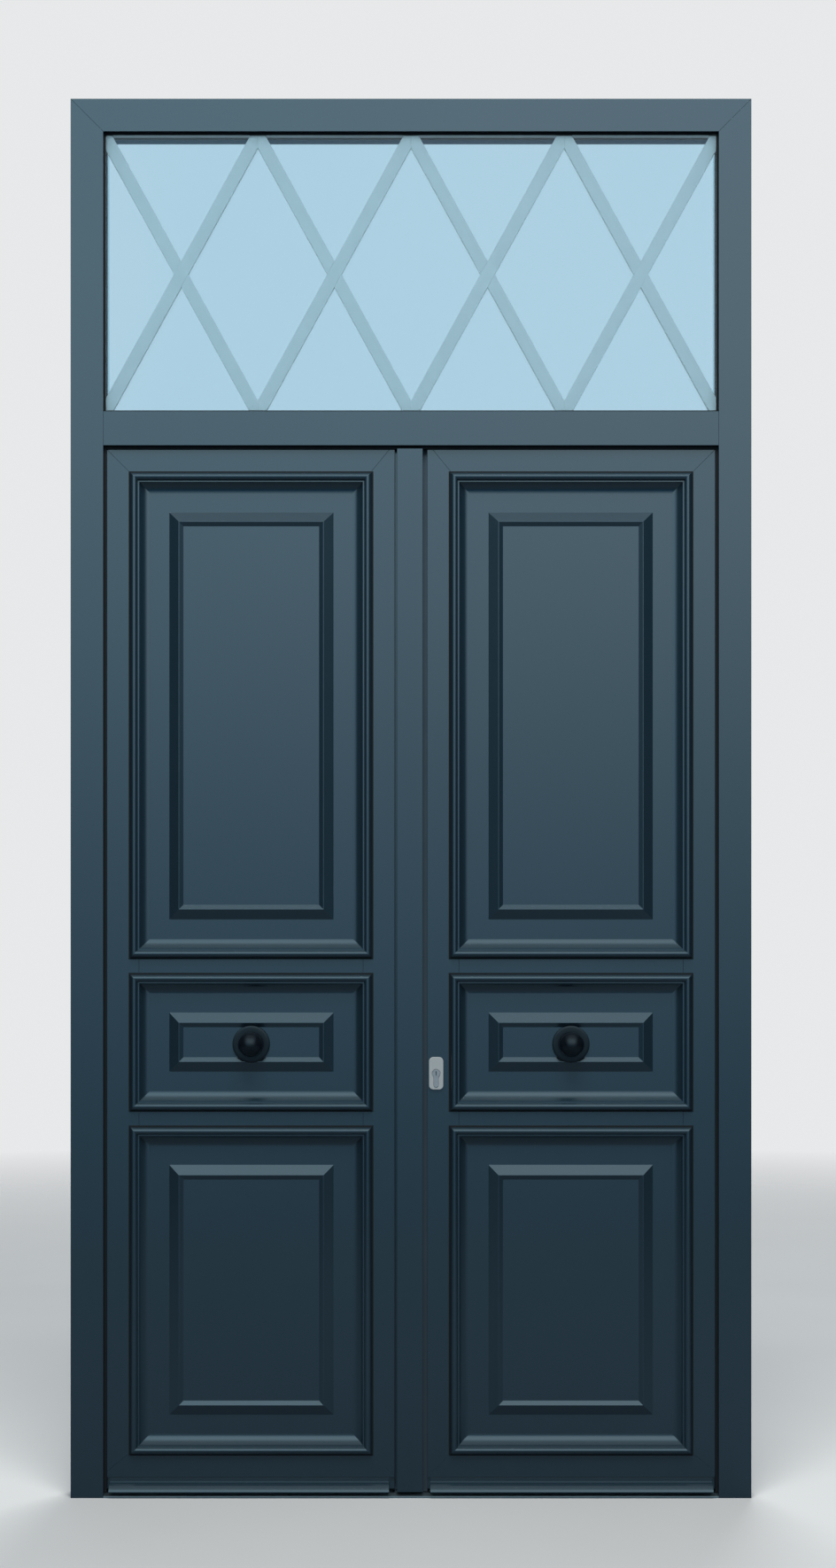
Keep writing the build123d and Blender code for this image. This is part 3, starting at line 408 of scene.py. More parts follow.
def zinc_steel():
    steel = Finish("zinc_steel")
    patch = steel.noise(size=0.012, detail=4.0)
    grain = steel.noise(size=0.0011, detail=2.0)
    tone = steel.between(patch, colour(172, 173, 176), colour(200, 201, 202))
    return steel.done({
        "Base Color": tone,
        "Metallic": 0.65,
        "Roughness": 0.3 + 0.18 * patch,
        "Normal": steel.bump(grain, depth=0.00003),
    })


zinc = zinc_steel()
hinge_arris = 0.0006
for name in ("frame_hinges", "left_leaf_hinges", "right_leaf_hinges"):
    eased(name, hinge_arris, door_coat)
dress(zinc, "hinge_pins")


class Pattern(Bench):
    """A geometry tree under construction, with named sizes."""

    def __init__(self, name):
        super().__init__(bpy.data.node_groups.new(name, "GeometryNodeTree"))
        self.tree.interface.new_socket("Geometry", in_out="INPUT", socket_type="NodeSocketGeometry")
        self.tree.interface.new_socket("Geometry", in_out="OUTPUT", socket_type="NodeSocketGeometry")

    def size(self, name, kind="NodeSocketFloat"):
        """A named input of the tree."""
        self.tree.interface.new_socket(name, in_out="INPUT", socket_type=kind)
        return self.given(name)

    def given(self, name="Geometry"):
        entry = self.tree.nodes.new("NodeGroupInput")
        return Signal(self, entry.outputs[name])

    def done(self, geometry, material):
        plain = self.node("GeometryNodeRealizeInstances", {}, {"Geometry": geometry})
        coated = self.node("GeometryNodeSetMaterial", {}, {"Geometry": plain, "Material": material})
        self.node("NodeGroupOutput", {}, {"Geometry": coated})

    def grown_on(self, mesh, sizes):
        """Runs the tree on a mesh and gives the result as a plain mesh."""
        carrier = bpy.data.objects.new("carrier", mesh)
        bpy.context.scene.collection.objects.link(carrier)
        run = carrier.modifiers.new("pattern", "NODES")
        run.node_group = self.tree
        for item in self.tree.interface.items_tree:
            if item.item_type == "SOCKET" and item.in_out == "INPUT" and item.name in sizes:
                run[item.identifier] = sizes[item.name]
        made = plain_mesh(carrier)
        bpy.data.objects.remove(carrier)
        return made


head_sides = 24
half_disc_steps = 12
half_disc_radius_share = 0.86
half_disc_rise_share = 0.6
half_disc_foot_share = 0.95


def screw_head(heads):
    """One raised head: a thin disc that carries two half discs, with the slot between them."""
    radius, rise, slot = (heads.size(name) for name in ("Head Radius", "Head Rise", "Slot Width"))
    disc = heads.node("GeometryNodeMeshCylinder", {"fill_type": "NGON"}, {
        "Vertices": head_sides, "Radius": radius, "Depth": rise}, "Mesh")
    disc_place = heads.node("ShaderNodeCombineXYZ", {}, {"Z": rise * 0.5})
    disc = heads.node("GeometryNodeTransform", {}, {"Geometry": disc, "Translation": disc_place})
    half_disc_radius = radius * half_disc_radius_share
    bow = heads.node("GeometryNodeCurveArc", {"mode": "RADIUS"}, {
        "Resolution": half_disc_steps, "Radius": half_disc_radius, "Sweep Angle": math.pi}, "Curve")
    closed = heads.node("GeometryNodeSetSplineCyclic", {}, {"Geometry": bow, "Cyclic": True})
    half = heads.node("GeometryNodeFillCurve", {}, {"Curve": closed})
    half = heads.node("GeometryNodeExtrudeMesh", {"mode": "FACES"}, {
        "Mesh": half, "Offset Scale": rise * half_disc_rise_share, "Individual": False}, "Mesh")
    half_disc_foot = rise * half_disc_foot_share
    half_place = heads.node("ShaderNodeCombineXYZ", {}, {"Y": slot * 0.5, "Z": half_disc_foot})
    first = heads.node("GeometryNodeTransform", {}, {"Geometry": half, "Translation": half_place})
    second = heads.node("GeometryNodeTransform", {}, {"Geometry": first, "Rotation": (0.0, 0.0, math.pi)})
    head = heads.node("GeometryNodeJoinGeometry")
    for piece in (disc, first, second):
        heads.tree.links.new(piece.socket, head.socket.node.inputs[0])
    return head


def slotted_screws(material):
    """A screw head at each point, facing the way the point says, its slot turned at random."""
    heads = Pattern("slotted_screws")
    head = screw_head(heads)
    seed = heads.size("Seed", "NodeSocketInt")
    facing = heads.node("GeometryNodeInputNamedAttribute", {"data_type": "FLOAT_VECTOR"}, {
        "Name": "facing"}, "Attribute")
    way = heads.node("FunctionNodeAlignRotationToVector", {"axis": "Z"}, {"Vector": facing})
    turn = heads.node("FunctionNodeRandomValue", {"data_type": "FLOAT"}, {
        "Min": 0.0, "Max": math.pi, "Seed": seed}, "Value")
    spin = heads.node("FunctionNodeAxisAngleToRotation", {}, {"Axis": (0.0, 0.0, 1.0), "Angle": turn})
    aimed = heads.node("FunctionNodeRotateRotation", {"rotation_space": "LOCAL"}, {
        "Rotation": way, "Rotate By": spin})
    spots = heads.node("GeometryNodeMeshToPoints", {}, {"Mesh": heads.given()})
    placed = heads.node("GeometryNodeInstanceOnPoints", {}, {
        "Points": spots, "Instance": head, "Rotation": aimed})
    heads.done(placed, material)
    return heads


screw_heads = slotted_screws(zinc)
head_rise_share = 0.22
slot_share = 0.3


def add_screws(name, body, spots, radius, seed):
    """Screw heads on one body. Each spot is a place and the way that its head faces."""
    points = bpy.data.meshes.new(name + "_spots")
    points.from_pydata([place for place, facing in spots], [], [])
    ways = points.attributes.new("facing", "FLOAT_VECTOR", "POINT")
    for number, (place, facing) in enumerate(spots):
        ways.data[number].vector = facing
    rise, slot = radius * head_rise_share, radius * slot_share
    sizes = {"Head Radius": radius, "Head Rise": rise, "Slot Width": slot, "Seed": seed}
    return add_piece(name, screw_heads.grown_on(points, sizes), zinc, body)


hinge_line = 0.671
hinge_feet = evenly(first=0.230, spacing=0.920, count=3)
screw_rows = evenly(first=0.018, spacing=0.042, count=3)
hinge_plate_thickness = 0.004
leaf_plate_offset = 0.029
frame_plate_offset = 0.030
plate_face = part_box("frame_jamb_right")[1].y + hinge_plate_thickness
leaf_plate_middle = hinge_line - leaf_plate_offset
frame_plate_middle = hinge_line + frame_plate_offset
inwards = (0.0, 1.0, 0.0)


def hinge_spots(x):
    return [((x, plate_face, foot + row), inwards) for foot in hinge_feet for row in screw_rows]


hinge_screw_radius = 0.0042
frame_spots = hinge_spots(frame_plate_middle) + hinge_spots(-frame_plate_middle)
add_screws("frame_hinge_screws", "frame", frame_spots, hinge_screw_radius, seed=3)
for side, way, seed in (("left", -1, 5), ("right", 1, 7)):
    leaf_spots = hinge_spots(way * leaf_plate_middle)
    add_screws(side + "_hinge_screws", side + "_leaf", leaf_spots, hinge_screw_radius, seed)


# Wall fixings
# Long slotted screws through the jambs into the wall, five a side, whose heads lie on
# the rebates behind the leaves' edges.

rebate_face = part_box("threshold")[1].x
wall_screw_radius = 0.0060
for side, way, seed in (("left", -1, 20), ("right", 1, 22)):
    wall_spots = [((way * rebate_face, 0.0, height), (-way, 0.0, 0.0)) for height in fixing_heights]
    add_screws(side + "_wall_screws", "frame", wall_spots, wall_screw_radius, seed)


# Leaves
# Each leaf is a mitred frame of hollow profile with two rails between its panels, all
# coated dark blue-grey.

cylinder_height = 0.910
spindle_height = 1.002
lock_bores = (cylinder_height, spindle_height)
for side in ("left_", "right_"):
    for name in ("hinge_stile", "top_rail", "bottom_rail", "mid_rails"):
        eased(side + name, coat_arris, door_coat)
eased("left_meeting_stile", coat_arris, door_coat)
eased("right_meeting_stile", coat_arris, door_coat, bore_heights=lock_bores)


# Panels
# Bonded panels, three in a leaf, whose coated aluminium skins are pressed into a raised
# and fielded form. The mouldings outside and the beads inside hold them.

slope_angle = math.radians(15)
crest_arris = 0.0003
for side in ("left_", "right_"):
    knob_low, knob_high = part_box(side + "knob")
    knob_height = (knob_low.z + knob_high.z) / 2
    for name in ("panel_upper", "panel_lower"):
        eased(side + name, crest_arris, door_coat, least_angle=slope_angle)
    middle = side + "panel_middle"
    eased(middle, crest_arris, door_coat, least_angle=slope_angle, bore_heights=(knob_height,))


# Mouldings and beads
# Lengths of bolection moulding mitred round each panel outside, and hollow clip-in beads inside.
# A thin black strip under each moulding's outer edge is painted shade along that edge.

for side in ("left_", "right_"):
    eased(side + "panel_beads", coat_arris, door_coat, mitres_joined=True)


def closed_mesh(work, name):
    """Turns the faces outwards and gives the work as a mesh."""
    bmesh.ops.recalc_face_normals(work, faces=work.faces)
    mesh = bpy.data.meshes.new(name)
    work.to_mesh(mesh)
    work.free()
    return mesh


def framed(outline, window, face_y):
    """A mitred ring round a window, from points of offset inwards and rise towards the street."""
    left, right, bottom, top = window
    work = bmesh.new()
    loops = []
    for offset, rise in outline:
        corners = (
            (left + offset, bottom + offset), (right - offset, bottom + offset),
            (right - offset, top - offset), (left + offset, top - offset),
        )
        loops.append([work.verts.new((x, face_y - rise, z)) for x, z in corners])
    for number, loop in enumerate(loops):
        following = loops[(number + 1) % len(loops)]
        for corner in range(len(loop)):
            beyond = (corner + 1) % len(loop)
            work.faces.new((loop[corner], loop[beyond], following[beyond], following[corner]))
            work.edges.get((loop[corner], following[corner])).smooth = False
    return closed_mesh(work, "framed")


def arc(middle, width, height, start, end, steps=10):
    """Points on a part of an oval, with its angles in degrees."""
    points = []
    for step in range(steps + 1):
        angle = math.radians(start + (end - start) * step / steps)
        points.append((middle[0] + width * math.cos(angle), middle[1] + height * math.sin(angle)))
    return points


def smoothed(mesh, angle=40):
    """Shades a mesh smooth, but leaves its sharp edges."""
    kept_sharp = [edge.index for edge in mesh.edges if edge.use_edge_sharp]
    mesh.shade_smooth()
    mesh.set_sharp_from_angle(angle=math.radians(angle))
    for index in kept_sharp:
        mesh.edges[index].use_edge_sharp = True
    return mesh


def joined(meshes):
    """Several meshes as one."""
    work = bmesh.new()
    for mesh in meshes:
        work.from_mesh(mesh)
    whole = bpy.data.meshes.new("joined")
    work.to_mesh(whole)
    work.free()
    return whole


leaf_face_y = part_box("left_bottom_rail")[0].y
panel_flat_depth = 0.009
panel_face_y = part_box("left_panel_upper")[0].y + panel_flat_depth
moulding_width = 0.0442
moulding_seat = 0.0220
# Width and rise of the black strip at each moulding's outer edge, which is painted shade.
shade_strip_width = 0.0040
shade_strip_rise = 0.0005
bead_foot = 0.0026
bead_round = 0.0078
bead_middle = shade_strip_width + bead_round
quirk_floor = 0.0007
quirk_end = 0.0226
cove_lip = 0.0005
panel_sunk = panel_face_y - leaf_face_y


def moulding_outline():
    """A round bead with steep flanks, a quirk, and a hollow cove that runs out on the panel."""
    outline = [(shade_strip_width, 0.0)]
    outline += arc((bead_middle, bead_foot), bead_round, bead_round, 180, 0, steps=18)
    outline += [(bead_middle + bead_round, quirk_floor), (quirk_end, quirk_floor)]
    run = moulding_width - quirk_end
    drop = quirk_floor + panel_sunk - cove_lip
    hollow = (run ** 2 + drop ** 2) / (2 * drop)
    steepest = math.degrees(2 * math.atan2(drop, run))
    cove_foot = cove_lip - panel_sunk
    cove_middle = (moulding_width, cove_foot + hollow)
    outline += arc(cove_middle, hollow, hollow, -90 - steepest, -90, steps=12)[1:]
    return outline + [(moulding_width, -panel_sunk), (moulding_seat, -panel_sunk), (moulding_seat, 0.0)]


# Outline of the black strip that paints the shade along the moulding's outer edge.
shade_strip_outline = [
    (0.0, 0.0), (0.0, shade_strip_rise / 2), (shade_strip_rise, shade_strip_rise), (shade_strip_width, shade_strip_rise),
    (shade_strip_width, 0.0),
]
mouldings_low, mouldings_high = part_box("right_mouldings")
panel_overlap = 0.010
panel_heights = []
for name in ("panel_lower", "panel_middle", "panel_upper"):
    low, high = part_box("right_" + name)
    panel_heights.append((low.z - panel_overlap, high.z + panel_overlap))
for side, body, way in (("left_", "left_leaf", -1), ("right_", "right_leaf", 1)):
    left, right = sorted((way * mouldings_low.x, way * mouldings_high.x))
    windows = [(left, right, low, high) for low, high in panel_heights]
    strips = smoothed(joined([framed(moulding_outline(), window, leaf_face_y) for window in windows]))
    mouldings = add_piece(side + "mouldings_finished", strips, door_coat, body)
    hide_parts(side + "mouldings")
    # Black strips round the mouldings' outer edges: painted shade.
    shade_strips = smoothed(joined([framed(shade_strip_outline, window, leaf_face_y) for window in windows]))
    add_piece(side + "moulding_shade_strips", shade_strips, rubber, body)


# Foot of each leaf
# A hollow foot profile under the bottom rail, and a curved drip bar on the street side
# that throws the rain off the threshold. Both are coated aluminium.

for side in ("left_", "right_"):
    for name in ("bottom_profile", "weather_bar"):
        eased(side + name, coat_arris, door_coat)


# Cover strip, strike and flush bolts
# A hollow strip on the meeting edge of the left leaf, its steel strike, and two flush
# bolts that slide in it. Soft rubber lips on its flank close the gap to the other leaf.

def brushed_stainless():
    """Stainless sheet brushed along its height, with a few deeper strokes."""
    steel = Finish("brushed_stainless")
    strokes = steel.noise(size=0.00045, detail=3.0, place=steel.place(z=0.012))
    haze = steel.noise(size=0.03, detail=3.0)
    tone = steel.between(strokes * 0.6 + haze * 0.4, colour(196, 195, 191), colour(226, 225, 221))
    return steel.done({
        "Base Color": tone,
        "Metallic": 0.55,
        "Roughness": 0.42 + 0.2 * strokes,
        "Normal": steel.bump(strokes, depth=0.00002),
    })


stainless = brushed_stainless()
plate_arris = 0.0003
eased("cover_strip", coat_arris, door_coat)
eased("strike_plate", plate_arris, stainless)
dress(zinc, "top_bolt", "bottom_bolt")

strip_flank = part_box("cover_strip")[1].x
strip_front_flank = 0.025
right_leaf_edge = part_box("right_meeting_stile")[0].x
lip_bite = 0.0003
lip_root = 0.0026
lip_tip = 0.0010
lip_steps = 6
lip_clearance = 0.0006
lip_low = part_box("threshold")[1].z + lip_clearance
lip_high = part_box("cover_strip")[1].z
outer_lip_y = -0.0150
outer_lip_lean = 0.0045
inner_lip_y = 0.0164
inner_lip_lean = 0.0022


def seal_lip(flank, root_y, lean):
    """A tapering blade from a flank of the strip to the right leaf's edge, as an outline in X and Y."""
    start = flank - lip_bite
    reach = right_leaf_edge + lip_bite - start
    near_side, far_side = [], []
    for step in range(lip_steps + 1):
        share = step / lip_steps
        thickness = lip_root + (lip_tip - lip_root) * share
        y = root_y - lean * share ** 2
        near_side.append((start + reach * share, y - thickness / 2))
        far_side.append((start + reach * share, y + thickness / 2))
    return near_side + far_side[::-1]


def upright_run(outline, low, high):
    """A closed outline in X and Y, run up from low to high."""
    work = bmesh.new()
    foot = [work.verts.new((x, y, low)) for x, y in outline]
    head = [work.verts.new((x, y, high)) for x, y in outline]
    work.faces.new(foot[::-1])
    work.faces.new(head)
    for number in range(len(outline)):
        following = (number + 1) % len(outline)
        work.faces.new((foot[number], foot[following], head[following], head[number]))
    return closed_mesh(work, "run")


def weathered_rubber():
    """Grey-blue rubber for the outer lip, with a paler bloom; its tone is lifted above the seal's black as
    painted light in the shaded gap.
    """
    outer_rubber = Finish("weathered_rubber")
    bloom = outer_rubber.noise(size=0.06, detail=3.0)
    grain = outer_rubber.noise(size=0.0009, detail=2.0)
    # The lifted grey-blue is painted light on a real rubber lip. It stands for light reaching into the deep
    # gap.
    tone = outer_rubber.between(bloom, colour(56, 69, 78), colour(66, 79, 88))
    return outer_rubber.done({
        "Base Color": tone,
        "Roughness": 0.55 + 0.2 * bloom,
        "Normal": outer_rubber.bump(grain, depth=0.00005),
    })


outer_lip = upright_run(seal_lip(strip_front_flank, outer_lip_y, outer_lip_lean), lip_low, lip_high)
add_piece("meeting_outer_lip", outer_lip, weathered_rubber(), "left_leaf")
inner_lip = upright_run(seal_lip(strip_flank, inner_lip_y, inner_lip_lean), lip_low, lip_high)
add_piece("meeting_inner_lip", inner_lip, rubber, "left_leaf")


# Lock
# A mortice lock case with its faceplate, a profile cylinder with a turning plug, and
# the two bolts. Screws hold the faceplate and the strike.

eased("lock_faceplate", plate_arris, stainless)
dress(zinc, "lock_case", "deadbolt", "latch_bolt", "cylinder_body", "cylinder_plug")

plate_screw_radius = 0.0036
screw_to_end = 0.012


def end_spots(node, x, facing):
    """A spot near each end of an upright plate, on the face at x."""
    low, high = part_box(node)
    middle_y = (low.y + high.y) / 2
    return [((x, middle_y, z), facing) for z in (low.z + screw_to_end, high.z - screw_to_end)]


strike_spots = end_spots("strike_plate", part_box("strike_plate")[1].x, (1.0, 0.0, 0.0))
add_screws("strike_screws", "left_leaf", strike_spots, plate_screw_radius, seed=11)
faceplate_spots = end_spots("lock_faceplate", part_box("lock_faceplate")[0].x, (-1.0, 0.0, 0.0))
add_screws("faceplate_screws", "right_leaf", faceplate_spots, plate_screw_radius, seed=13)


# Escutcheon, inside plate and lever
# Brushed stainless plates and a lever on the right leaf's meeting stile. The inside plate
# is screwed on, and the escutcheon lies round the cylinder outside.

def rounded_outline(half_width, half_height, corner):
    """A rectangle with round corners about the origin."""
    outline = []
    for x_way, z_way, start in ((1, -1, -90), (1, 1, 0), (-1, 1, 90), (-1, -1, 180)):
        middle = (x_way * (half_width - corner), z_way * (half_height - corner))
        outline += arc(middle, corner, corner, start, start + 90, steps=8)
    return outline


def cylinder_outline(radius, flag_half, foot_drop):
    """The keyhole-shaped outline of a profile cylinder about its plug."""
    meets = math.degrees(math.acos(flag_half / radius))
    round_part = arc((0.0, 0.0), radius, radius, -meets, 180 + meets, steps=24)
    return round_part + arc((0.0, -foot_drop), flag_half, flag_half, 180, 360, steps=12)


def pressed_plate(name, outlines, place, thickness, edge):
    """A plate with eased edges that faces the street. The first outline is its rim, the others are holes."""
    flat = bpy.data.curves.new(name, "CURVE")
    flat.dimensions = "2D"
    flat.fill_mode = "BOTH"
    flat.extrude = thickness / 2 - edge
    flat.bevel_depth = edge
    flat.bevel_resolution = 2
    flat.offset = -edge
    for outline in outlines:
        line = flat.splines.new("POLY")
        line.points.add(len(outline) - 1)
        for point, (x, z) in zip(line.points, outline):
            point.co = (x, z, 0.0, 1.0)
        line.use_cyclic_u = True
    pressed = bpy.data.objects.new(name, flat)
    bpy.context.scene.collection.objects.link(pressed)
    mesh = plain_mesh(pressed)
    bpy.data.objects.remove(pressed)
    mesh.transform(Matrix.Translation(place) @ Matrix.Rotation(math.radians(90), 4, "X"))
    return mesh


cylinder_gap = 0.0003
escutcheon_corner = 0.0095
escutcheon_edge = 0.0009
plate_low, plate_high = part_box("escutcheon")
cylinder_low, cylinder_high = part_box("cylinder_body")
cylinder_radius = (cylinder_high.x - cylinder_low.x) / 2
cylinder_middle_z = cylinder_high.z - cylinder_radius
flag_half = 0.005
foot_drop = cylinder_middle_z - cylinder_low.z - flag_half
plate_middle = (plate_low + plate_high) / 2
plate_size = plate_high - plate_low
rim = rounded_outline(plate_size.x / 2, plate_size.z / 2, escutcheon_corner)
hole = cylinder_outline(cylinder_radius + cylinder_gap, flag_half + cylinder_gap, foot_drop)
hole = [(x, z + cylinder_middle_z - plate_middle.z) for x, z in hole]
plate_mesh = pressed_plate("escutcheon_plate", [rim, hole], plate_middle, plate_size.y, escutcheon_edge)
plate_mesh = smoothed(plate_mesh, angle=30)
plate = add_piece("escutcheon_finished", plate_mesh, stainless, "right_leaf")
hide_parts("escutcheon")
inner_plate_arris = 0.0008
eased("inner_plate", inner_plate_arris, stainless, segments=3, bore_heights=lock_bores)
lever_mesh = smoothed(merged_copy("inner_lever"))
lever = add_piece("inner_lever_finished", lever_mesh, stainless, "lever")
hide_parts("inner_lever")

plate_low, plate_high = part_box("inner_plate")
plate_x = (plate_low.x + plate_high.x) / 2
plate_screw_heights = (0.955, 1.028)
plate_spots = [((plate_x, plate_high.y, z), inwards) for z in plate_screw_heights]
add_screws("inner_plate_screws", "right_leaf", plate_spots, plate_screw_radius, seed=17)


# Knobs
# Turned pull knobs in satin black, each on its round rose and held by a stud and a
# hexagon nut behind the panel.

def knob_paint():
    paint = Finish("knob_black")
    film = paint.noise(size=0.012, detail=3.0)
    peel = paint.noise(size=0.0012, detail=1.0)
    tone = paint.between(film, colour(5, 9, 13), colour(11, 16, 22))
    return paint.done({
        "Base Color": tone,
        "Roughness": 0.26 + 0.1 * film,
        "Normal": paint.bump(peel, depth=0.00003),
        "Coat Weight": 0.3,
        "Coat Roughness": 0.15,
    })


black_paint = knob_paint()
knob_sides = 72


def ring_of(work, centre, radius, reach, sides):
    """Points round the turning axis, or a single one on it."""
    if radius == 0.0:
        return [work.verts.new((centre.x, centre.y - reach, centre.z))]
    ring = []
    for side in range(sides):
        angle = 2 * math.pi * side / sides
        x = centre.x + radius * math.cos(angle)
        z = centre.z + radius * math.sin(angle)
        ring.append(work.verts.new((x, centre.y - reach, z)))
    return ring


def turned(outline, centre, sides):
    """A closed turned piece whose axis points at the street, from points of radius and reach."""
    work = bmesh.new()
    rings = [ring_of(work, centre, radius, reach, sides) for radius, reach in outline]
    for inner, outer in zip(rings, rings[1:]):
        for side in range(sides):
            following = (side + 1) % sides
            if len(inner) == 1:
                work.faces.new((inner[0], outer[side], outer[following]))
            elif len(outer) == 1:
                work.faces.new((inner[side], inner[following], outer[0]))
            else:
                work.faces.new((inner[side], inner[following], outer[following], outer[side]))
    return closed_mesh(work, "turned")


knob_neck = 0.0110
knob_collar = 0.0128
collar_height = 0.0100
collar_rounding = 0.0012
neck_top = 0.0150
flare_top = 0.0262
rim_round = 0.0026


def knob_outline(rim, reach):
    """Collar, neck, trumpet-shaped underside, rounded rim and dome."""
    outline = [(0.0, 0.0), (knob_collar, 0.0), (knob_collar, collar_height)]
    outline += arc((knob_neck, collar_height), knob_collar - knob_neck, collar_rounding, 0, 90, steps=4)
    flare_width = rim - rim_round - knob_neck
    outline += arc((knob_neck + flare_width, neck_top), flare_width, flare_top - neck_top, 180, 90)
    rim_middle = flare_top + rim_round
    outline += arc((rim - rim_round, rim_middle), rim_round, rim_round, -90, 0, steps=6)[1:]
    crown = arc((0.0, rim_middle), rim, reach - rim_middle, 0, 90, steps=20)
    return outline + crown[1:-1] + [(0.0, reach)]


rose_bore = 0.0130
rose_seat = 0.0280
rose_back = 0.0043
rose_edge = 0.0011
rose_groove = 0.0006
rose_ring = 0.0225


def rose_outline(radius, thickness):
    """Seat, overhanging rounded edge, hollow slope, a turned ring and the bore."""
    edge_middle = rose_back + rose_edge
    edge_top = edge_middle + rose_edge
    groove = thickness - rose_groove
    slope_inner = rose_ring + 2 * rose_edge
    slope_width = radius - 2 * rose_edge - slope_inner
    outline = [(rose_bore, 0.0), (rose_seat, 0.0), (rose_seat, rose_back), (radius - rose_edge, rose_back)]
    outline += arc((radius - rose_edge, edge_middle), rose_edge, rose_edge, -90, 90, steps=8)[1:]
    outline += arc((slope_inner, edge_top), slope_width, thickness - edge_top, 0, 90, steps=8)
    outline += [(slope_inner, groove), (rose_ring + rose_edge, groove)]
    outline += arc((rose_ring, groove), rose_edge, rose_groove, 0, 180, steps=6)
    return outline + [(rose_bore, groove), (rose_bore, 0.0)]


nut_radius = 0.0108
nut_height = 0.0078
stud_radius = 0.0049
for side, body in (("left_", "left_leaf"), ("right_", "right_leaf")):
    low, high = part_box(side + "knob")
    seat_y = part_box(side + "knob_rose")[1].y
    centre = Vector(((low.x + high.x) / 2, seat_y, (low.z + high.z) / 2))
    reach = seat_y - low.y
    rim = (high.x - low.x) / 2
    stud_end = seat_y - high.y
    stud_outline = [(0.0, 0.0), (stud_radius, 0.0), (stud_radius, stud_end), (0.0, stud_end)]
    stud = turned(stud_outline, centre, sides=24)
    nut_front = stud_end + nut_height
    nut_outline = [(0.0, nut_front), (nut_radius, nut_front), (nut_radius, stud_end), (0.0, stud_end)]
    nut = turned(nut_outline, centre, sides=6)
    knob_mesh = smoothed(joined([turned(knob_outline(rim, reach), centre, knob_sides), stud, nut]))
    knob = add_piece(side + "knob_finished", knob_mesh, black_paint, body)
    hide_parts(side + "knob")
    low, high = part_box(side + "knob_rose")
    rose_mesh = smoothed(turned(rose_outline((high.x - low.x) / 2, seat_y - low.y), centre, knob_sides))
    rose = add_piece(side + "knob_rose_finished", rose_mesh, black_paint, body)
    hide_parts(side + "knob_rose")


# Floor and surroundings
# A studio floor that is pale to the camera and fades out, under a pale sky that stands
# over a darker ground in the door's gloss.

def floor_finish():
    """Pale grey to the camera, a dark blue-grey to the rest, and nothing at all far out."""
    dull, bright = (0.50, 0.51, 0.51, 1.0), (0.55, 0.56, 0.56, 1.0)
    mirrored = (0.055, 0.09, 0.12, 1.0)
    floor = Finish("studio_floor")
    place = floor.node("ShaderNodeTexCoord", output="Object")
    reach = floor.node("ShaderNodeVectorMath", {"operation": "LENGTH"}, {0: place}, "Value")
    fade = reach.ramp(start=3.0, width=5.0)
    seen = floor.node("ShaderNodeLightPath", output="Is Camera Ray")
    cloud = floor.noise(size=0.8, detail=3.0)
    tone = floor.between(seen, mirrored, floor.between(cloud, dull, bright))
    ground = floor.node("ShaderNodeBsdfPrincipled", {}, {"Base Color": tone, "Roughness": 0.7})
    clear = floor.node("ShaderNodeBsdfTransparent")
    mixed = floor.node("ShaderNodeMixShader", {}, {0: fade, 1: ground, 2: clear})
    floor.node("ShaderNodeOutputMaterial", {}, {"Surface": mixed})
    return floor.material


floor_half = 9.0
floor_mesh = bpy.data.meshes.new("studio_floor")
corners = [(x * floor_half, y * floor_half, 0.0) for x, y in ((-1, -1), (1, -1), (1, 1), (-1, 1))]
floor_mesh.from_pydata(corners, [], [(0, 1, 2, 3)])
floor_mesh.materials.append(floor_finish())
studio_floor = bpy.data.objects.new("studio_floor", floor_mesh)
bpy.context.scene.collection.objects.link(studio_floor)


def mirrored_street(sky, way, cloud):
    """What gloss mirrors: sky over a street's ground, dim on both sides and greyer high overhead."""
    blue, white = (0.58, 0.95, 1.14, 1.0), (0.77, 1.02, 1.16, 1.0)
    ground, eaves = (0.0, 0.07, 0.16, 1.0), (0.24, 0.32, 0.36, 1.0)
    sides = (0.015, 0.025, 0.035, 1.0)
    height = sky.node("ShaderNodeSeparateXYZ", {}, {"Vector": way}, "Z")
    across = abs(height.other("X"))
    rise = height.ramp(start=-0.30, width=0.56)
    street = sky.between(rise * rise, ground, sky.between(cloud, blue, white))
    overhead = height.ramp(start=0.62, width=0.24)
    beside = across.ramp(start=0.30, width=0.40)
    return sky.between(beside, sky.between(overhead, street, eaves), sides)


def sky_through_glass(sky, cloud):
    """What glass shows of the sky, brighter where its light has bounced off a matt face."""
    blue, white = (0.60, 0.76, 0.86, 1.0), (0.70, 0.78, 0.85, 1.0)
    bounced_light = (1.18, 1.42, 1.62, 1.0)
    bounces = sky.node("ShaderNodeLightPath", output="Diffuse Depth").kept_in(0.0, 1.0)
    return sky.between(bounces, sky.between(cloud, blue, white), bounced_light)


def background(sky, tone):
    return sky.node("ShaderNodeBackground", {}, {"Color": tone, "Strength": 1.0})


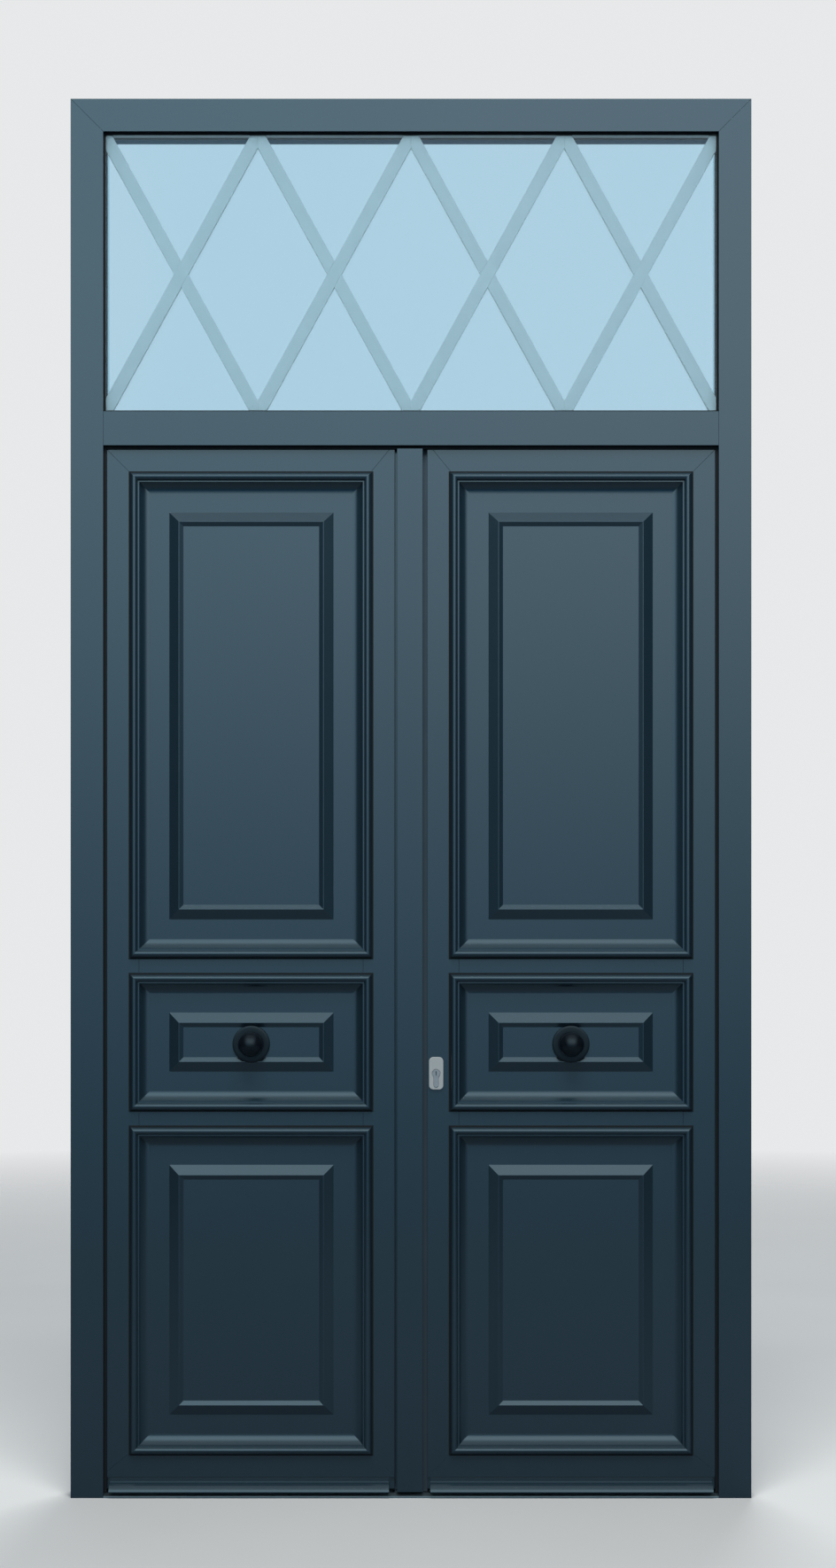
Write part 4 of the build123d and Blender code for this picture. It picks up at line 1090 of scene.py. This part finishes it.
def surroundings():
    """Pale to the camera, a soft blue sky to glass, and a street's sky and ground to gloss."""
    fill_light, studio_wall = (0.12, 0.13, 0.14, 1.0), (0.80, 0.81, 0.82, 1.0)
    world = bpy.data.worlds.new("studio")
    world.use_nodes = True
    world.cycles.sampling_method = "NONE"
    sky = Bench(world.node_tree)
    way = sky.node("ShaderNodeTexCoord", output="Generated")
    puffs = sky.node("ShaderNodeTexNoise", {}, {"Vector": way, "Scale": 2.6, "Detail": 4.0}, "Fac")
    cloud = puffs.ramp(start=0.45, width=0.25)
    fill = background(sky, fill_light)
    street = background(sky, mirrored_street(sky, way, cloud))
    through = background(sky, sky_through_glass(sky, cloud))
    studio = background(sky, studio_wall)
    ray = sky.node("ShaderNodeLightPath", output="Is Camera Ray")
    glossy, passing = ray.other("Is Glossy Ray"), ray.other("Is Transmission Ray")
    gloss = sky.node("ShaderNodeMixShader", {}, {0: glossy, 1: fill, 2: street})
    glass = sky.node("ShaderNodeMixShader", {}, {0: passing, 1: gloss, 2: through})
    shown = sky.node("ShaderNodeMixShader", {}, {0: ray, 1: glass, 2: studio})
    sky.node("ShaderNodeOutputWorld", {}, {"Surface": shown})
    bpy.context.scene.world = world


surroundings()


# Lamps
# A soft lamp high in front, as open sky lights a street door from above, and a weak
# one on the other side for the views from inside.

def soft_lamp(name, spot, target, width, height, power):
    light = bpy.data.lights.new(name, "AREA")
    light.shape = "RECTANGLE"
    light.size = width
    light.size_y = height
    light.energy = power
    lamp = bpy.data.objects.new(name, light)
    lamp.location = spot
    lamp.rotation_mode = "QUATERNION"
    lamp.rotation_quaternion = (Vector(target) - Vector(spot)).to_track_quat("-Z", "Y")
    lamp.visible_transmission = False
    lamp.visible_glossy = False
    bpy.context.scene.collection.objects.link(lamp)


soft_lamp("sky_lamp", (0.0, -2.6, 5.7), (0.0, 0.0, 1.4), width=2.8, height=2.2, power=400.0)
soft_lamp("room_lamp", (0.6, 3.0, 5.2), (0.0, 0.0, 1.3), width=2.4, height=2.0, power=200.0)


# Camera
# In the street, straight before the door, as in the photograph. The lens is shifted up,
# so that upright lines stay upright.

camera_distance = 4.5
camera_height = 1.18
camera_aside = 0.015
camera_data = bpy.data.cameras.new("camera")
camera_data.sensor_width = 36.0
camera_data.lens = 48.2
camera_data.shift_y = 0.1044
camera = bpy.data.objects.new("camera", camera_data)
camera.location = (camera_aside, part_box("frame_head")[0].y - camera_distance, camera_height)
camera.rotation_euler = (math.radians(90), 0.0, 0.0)
bpy.context.scene.collection.objects.link(camera)
bpy.context.scene.camera = camera
bpy.context.scene.view_settings.view_transform = "Standard"
